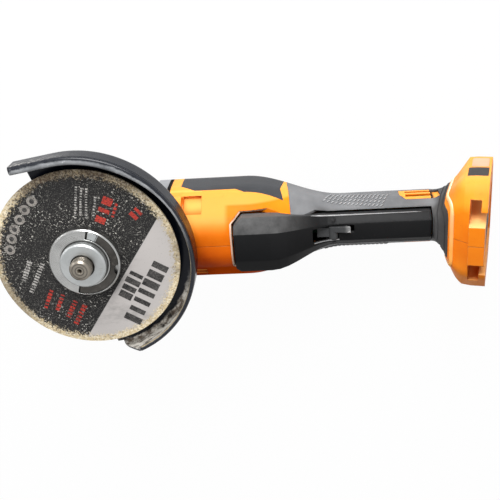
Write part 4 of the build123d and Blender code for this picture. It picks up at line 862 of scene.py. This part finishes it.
# rolled lip on the guard: broad over the top, slim at the side
rollValues = {"outer": 73.4 * mm, "slim": 70.4 * mm, "broad": 68.2 * mm, "from": -65.5, "to": 99.0,
              "runout": 26.6 * mm, "runoutSteps": 10, "broadFrom": 25.0, "broadTo": 70.0, "rimZ": 94.0 * mm,
              "high": 1.3 * mm, "deep": 1.0 * mm, "points": 110, "profile": 10, "fullness": 0.6}


def guardRoll():
    v = rollValues
    stations = []
    for i in range(v["points"] + 1):
        angle = between(v["from"], v["to"], i / v["points"])
        share = min(1.0, max(0.0, (angle - v["broadFrom"]) / (v["broadTo"] - v["broadFrom"])))
        out = outAt(angle)
        stations.append((Vector(), out, share * share * (3 - 2 * share)))
    onward = Vector((-out.y, out.x, 0))
    for i in range(1, v["runoutSteps"] + 1):
        stations.append((onward * (v["runout"] * i / v["runoutSteps"]), out, 1.0))
    rings = []
    for base, out, share in stations:
        inner = between(v["slim"], v["broad"], share)
        section = []
        for k in range(v["profile"] + 1):
            f = k / v["profile"]
            section.append((between(v["outer"], inner, f), v["high"] * (4 * f * (1 - f)) ** v["fullness"] - sunk))
        section += [(inner, -v["deep"]), (v["outer"], -v["deep"])]
        rings.append([base + out * reach + Vector((0, 0, v["rimZ"] + lift)) for reach, lift in section])
    tubePiece([rings], "guard_roll", "rolled_lip", "guard", "guard_enamel", True)


guardRoll()
print("guard lip rolled")

# small marks of the quick-release nut: a bright tip on the bail with a slit's edge beside it, dashes on the hub
nutValues = {"tip": (59.6, 75.5), "slit": (57.45, 58.55), "bailR": (17.5 * mm, 22.1 * mm), "bailTop": 91.8 * mm,
             "tipProud": 0.14 * mm, "slitProud": 0.28 * mm, "sunk": 0.1 * mm, "hubTop": 97.0 * mm,
             "dashR": (11.4 * mm, 13.0 * mm), "dashAngles": (-9, -16, -23, -30), "dashHalf": 0.7,
             "dashProud": 0.05 * mm}


def sectorPlate(angles, radii, top, proud, steps):
    (r0, r1), z0, z1 = radii, top - nutValues["sunk"], top + proud
    rings = []
    for i in range(steps + 1):
        out = outAt(between(*angles, i / steps))
        rings.append([out * r + Vector((0, 0, z)) for r, z in ((r0, z0), (r1, z0), (r1, z1), (r0, z1))])
    return rings


def nutMarks():
    v = nutValues
    tip = sectorPlate(v["tip"], v["bailR"], v["bailTop"], v["tipProud"], 8)
    slit = sectorPlate(v["slit"], v["bailR"], v["bailTop"], v["slitProud"], 2)
    tubePiece([tip, slit], "bail_tip", "satin_hub", "bail", "bare_steel")
    dashes = [sectorPlate(around(angle, v["dashHalf"]), v["dashR"], v["hubTop"], v["dashProud"], 2)
              for angle in v["dashAngles"]]
    tubePiece(dashes, "hub_dashes", "print_white", "spindle", "bare_steel")


nutMarks()
print("nut marks made")

# worn rim along the lever's pocket in the paddle
pocketValues = {"fromX": 151.0 * mm, "toX": 168.0 * mm, "y": -5.35 * mm, "width": 0.9 * mm, "high": 0.42 * mm,
                "points": 24}


def pocketRim():
    v = pocketValues
    rings = []
    for i in range(v["points"] + 1):
        hit = fromAbove(paddleSkin, between(v["fromX"], v["toX"], i / v["points"]), v["y"])
        rings.append(halfRound(hit, Vector((0, 1, 0)), Vector((0, 0, 1)), v["width"], v["high"]))
    tubePiece([rings], "lever_pocket_rim", "pocket_rim", "paddle", "black_plastic", True)


pocketRim()
print("lever pocket rimmed")

# edge along each side of the paddle's handle, pale and widest in front: rubbed wear together with a painted highlight
edgeValues = {"fromX": 148.0 * mm, "toX": 226.0 * mm, "lowZ": 42.0 * mm, "highZ": 80.0 * mm, "probe": 0.1 * mm,
              "slack": 0.08 * mm, "width": 1.25 * mm, "slim": 0.45 * mm, "high": 0.34 * mm, "taper": 8, "points": 78,
              "leanY": 0.8, "leanZ": 0.6}


def sideEdge(x, sign):
    v = edgeValues
    hits = []
    for k in range(int((v["highZ"] - v["lowZ"]) / v["probe"])):
        z = v["lowZ"] + k * v["probe"]
        hit = fromSide(paddleSkin, x, z, sign)[0]
        if hit:
            hits.append((abs(hit.y), z))
    widest = max(hits)[0]
    return widest, max(z for y, z in hits if y > widest - v["slack"])


def paddleEdge(sign, side):
    v = edgeValues
    out = Vector((0, v["leanY"] * sign, v["leanZ"]))
    across = Vector((0, -v["leanZ"] * sign, v["leanY"]))
    rings = []
    for i in range(v["points"] + 1):
        along = i / v["points"]
        x = between(v["fromX"], v["toX"], along)
        y, z = sideEdge(x, sign)
        share = min(1.0, (i + 1) / v["taper"], (v["points"] + 1 - i) / v["taper"])
        width = between(v["width"], v["slim"], along) * share
        rings.append(halfRound(Vector((x, sign * y, z)), across, out, width, v["high"] * share))
    tubePiece([rings], "paddle_edge_" + side, "edge_rubbed", "paddle", "black_plastic", True)


for sign, side in bothSides:
    paddleEdge(sign, side)
print("paddle edges worn")

# plugs over the two ends of the lever pin's bore
plugValues = {"x": 164.0 * mm, "z": 57.0 * mm, "radius": 1.75 * mm, "beside": 2.6 * mm, "proud": 0.10 * mm,
              "deep": 1.2 * mm, "bevel": 0.2 * mm, "points": 20}


def pinPlugs():
    v = plugValues
    levels = ((v["radius"], -v["deep"]), (v["radius"], 0.0), (v["radius"] - v["bevel"], v["proud"]))
    plugs = []
    for sign, _ in bothSides:
        hits = [fromSide(paddleSkin, v["x"] + shift, v["z"], sign) for shift in (v["beside"], -v["beside"])]
        middle = sum((hit for hit, normal in hits), Vector()) / len(hits)
        out = sum((normal for hit, normal in hits), Vector()).normalized()
        along = (Vector((1, 0, 0)) - out * out.x).normalized()
        plugs.append([circle(middle + out * lift, along, out.cross(along), radius, v["points"])
                      for radius, lift in levels])
    tubePiece(plugs, "lever_pin_plugs", "paddle_black", "paddle", "black_plastic")


pinPlugs()
print("lever pin plugged")

# cast ribs round the gear case's blind end
ribValues = {"angles": (122, 139, 156, 173, 187, 204, 221, 238), "radius": 28.5 * mm, "width": 2.2 * mm,
             "proud": 0.8 * mm, "least": 0.1 * mm, "low": 9.0 * mm, "high": 50.0 * mm,
             "ends": ((0.0, 0.0), (1.5 * mm, 0.8), (3.0 * mm, 1.0))}  # distance from an end, share of the height


def caseRibs():
    v = ribValues
    levels = [(v["low"] + off, share) for off, share in v["ends"]]
    levels += [(v["high"] - off, share) for off, share in reversed(v["ends"])]
    ribs = []
    for angle in v["angles"]:
        out = outAt(angle)
        across = Vector((-out.y, out.x, 0))
        ribs.append([halfRound(out * v["radius"] + Vector((0, 0, z)), across, out, v["width"],
                               v["proud"] * share + v["least"]) for z, share in levels])
    tubePiece(ribs, "case_ribs", "cast_alloy", "tool", "cast_alloy", True)


caseRibs()
print("case ribs made")


# round-wire springs, wound in place of the CAD springs
springValues = {
    # node: (axis x, coil radius, wire radius, low end, high end, turns, end pitch, joint, fixed end, share kept)
    "lock_spring": (-11.2 * mm, 2.75 * mm, 0.4 * mm, 6.05 * mm, 20.0 * mm, 5, 0.95 * mm,
                    "spindle_lock_press", 20.0 * mm, 0.70),
    "paddle_spring": (130.0 * mm, 4.0 * mm, 0.6 * mm, 62.28 * mm, 70.78 * mm, 4, 1.3 * mm,
                      "paddle_press", 62.28 * mm, 0.57),
}
springSteps = 28
wirePoints = 8


def woundSpring(node, axisX, coil, wire, low, high, turns, endPitch, joint, fixedEnd, keep):
    pitch = (high - low - 2 * wire - 2 * endPitch) / (turns - 2)
    spots = []
    for i in range(turns * springSteps + 1):
        done = i / springSteps
        rise = endPitch * (min(done, 1) + max(done - turns + 1, 0)) + pitch * min(max(done - 1, 0), turns - 2)
        spots.append(Vector((axisX, 0, low + wire + rise)) + outAt(360 * done) * coil)
    rings = []
    for i, spot in enumerate(spots):
        onward = (spots[min(i + 1, len(spots) - 1)] - spots[max(i - 1, 0)]).normalized()
        out = Vector((spot.x - axisX, spot.y, 0)).normalized()
        rings.append(circle(spot, out, onward.cross(out).normalized(), wire, wirePoints))
    spring = tubePiece([rings], node + "_wire", "turned_steel", "tool", "bare_steel", True)
    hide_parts(node)
    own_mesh(spring)


for node, sizes in springValues.items():
    woundSpring(node, *sizes)
print("springs wound")


# camera, light and floor
cameraValues = {"at": (0.152637, 0.214479, 0.559108), "right": (0.99559, -0.07290, -0.05904),
                "up": (0.04213, 0.90979, -0.41293), "back": (0.08382, 0.40862, 0.90885), "lens": 57.6,
                "sensor": 36, "nearest": 0.01}
camData = bpy.data.cameras.new("camera")
camData.sensor_width = cameraValues["sensor"]
camData.lens = cameraValues["lens"]
camData.clip_start = cameraValues["nearest"]
camera = bpy.data.objects.new("camera", camData)
turn = Matrix((cameraValues["right"], cameraValues["up"], cameraValues["back"])).transposed().to_4x4()
camera.matrix_world = Matrix.Translation(cameraValues["at"]) @ turn
scene.collection.objects.link(camera)
scene.camera = camera

lampValues = [
    # name, place, aim, size, watts
    ("key", (0.05, 0.90, 0.58), (0.12, 0.0, 0.05), 0.60, 16.0),
    ("fill", (0.70, -0.25, 0.95), (0.12, 0.0, 0.05), 0.8, 2.0),
    ("rim", (-0.75, 0.30, 0.50), (0.0, 0.0, 0.07), 0.5, 3.5),
]
for name, at, aim, size, watts in lampValues:
    data = bpy.data.lights.new(name, "AREA")
    data.size = size
    data.energy = watts
    lamp = bpy.data.objects.new(name, data)
    lamp.location = at
    lamp.rotation_euler = (Vector(aim) - Vector(at)).to_track_quat("-Z", "Y").to_euler()
    scene.collection.objects.link(lamp)

stageValues = {"sky": (0.93, 0.95, 1.0), "skyLight": 0.24, "floor": 0.86, "floorWhite": 0.97, "floorSize": 6.0,
               "floorAt": (0.1, 0, -0.0004)}


# white where it is seen, the given light or matte tone for all else
def whiteInView(p, kind, plain, white, share):
    rays = p.add("LightPath").outputs
    seen = p.most(*(rays["Is " + ray + " Ray"] for ray in ("Camera", "Glossy", "Transmission")))
    p.add(kind, p.add("MixShader", p.times(seen, share), plain.outputs[0], white.outputs[0]).outputs[0])


world = bpy.data.worlds.new("studio")
scene.world = world
world.use_nodes = True
p = NodeTree(world.node_tree)
whiteInView(p, "OutputWorld", p.add("Background", rgba(stageValues["sky"]), stageValues["skyLight"]),
            p.add("Background", rgba(1.0), 1.0), 1.0)

floorMat = bpy.data.materials.new("pale_floor")
floorMat.use_nodes = True
p = NodeTree(floorMat.node_tree)
whiteInView(p, "OutputMaterial", p.add("BsdfDiffuse", rgba(stageValues["floor"])), p.add("Emission", rgba(1.0), 1.0),
            stageValues["floorWhite"])
bm = bmesh.new()
bmesh.ops.create_grid(bm, x_segments=1, y_segments=1, size=stageValues["floorSize"],
                      matrix=Matrix.Translation(stageValues["floorAt"]))
mesh = bpy.data.meshes.new("floor")
bm.to_mesh(mesh)
bm.free()
mesh.materials.append(floorMat)
floor = bpy.data.objects.new("floor", mesh)
scene.collection.objects.link(floor)

scene.view_settings.view_transform = "Standard"
print("stage set")
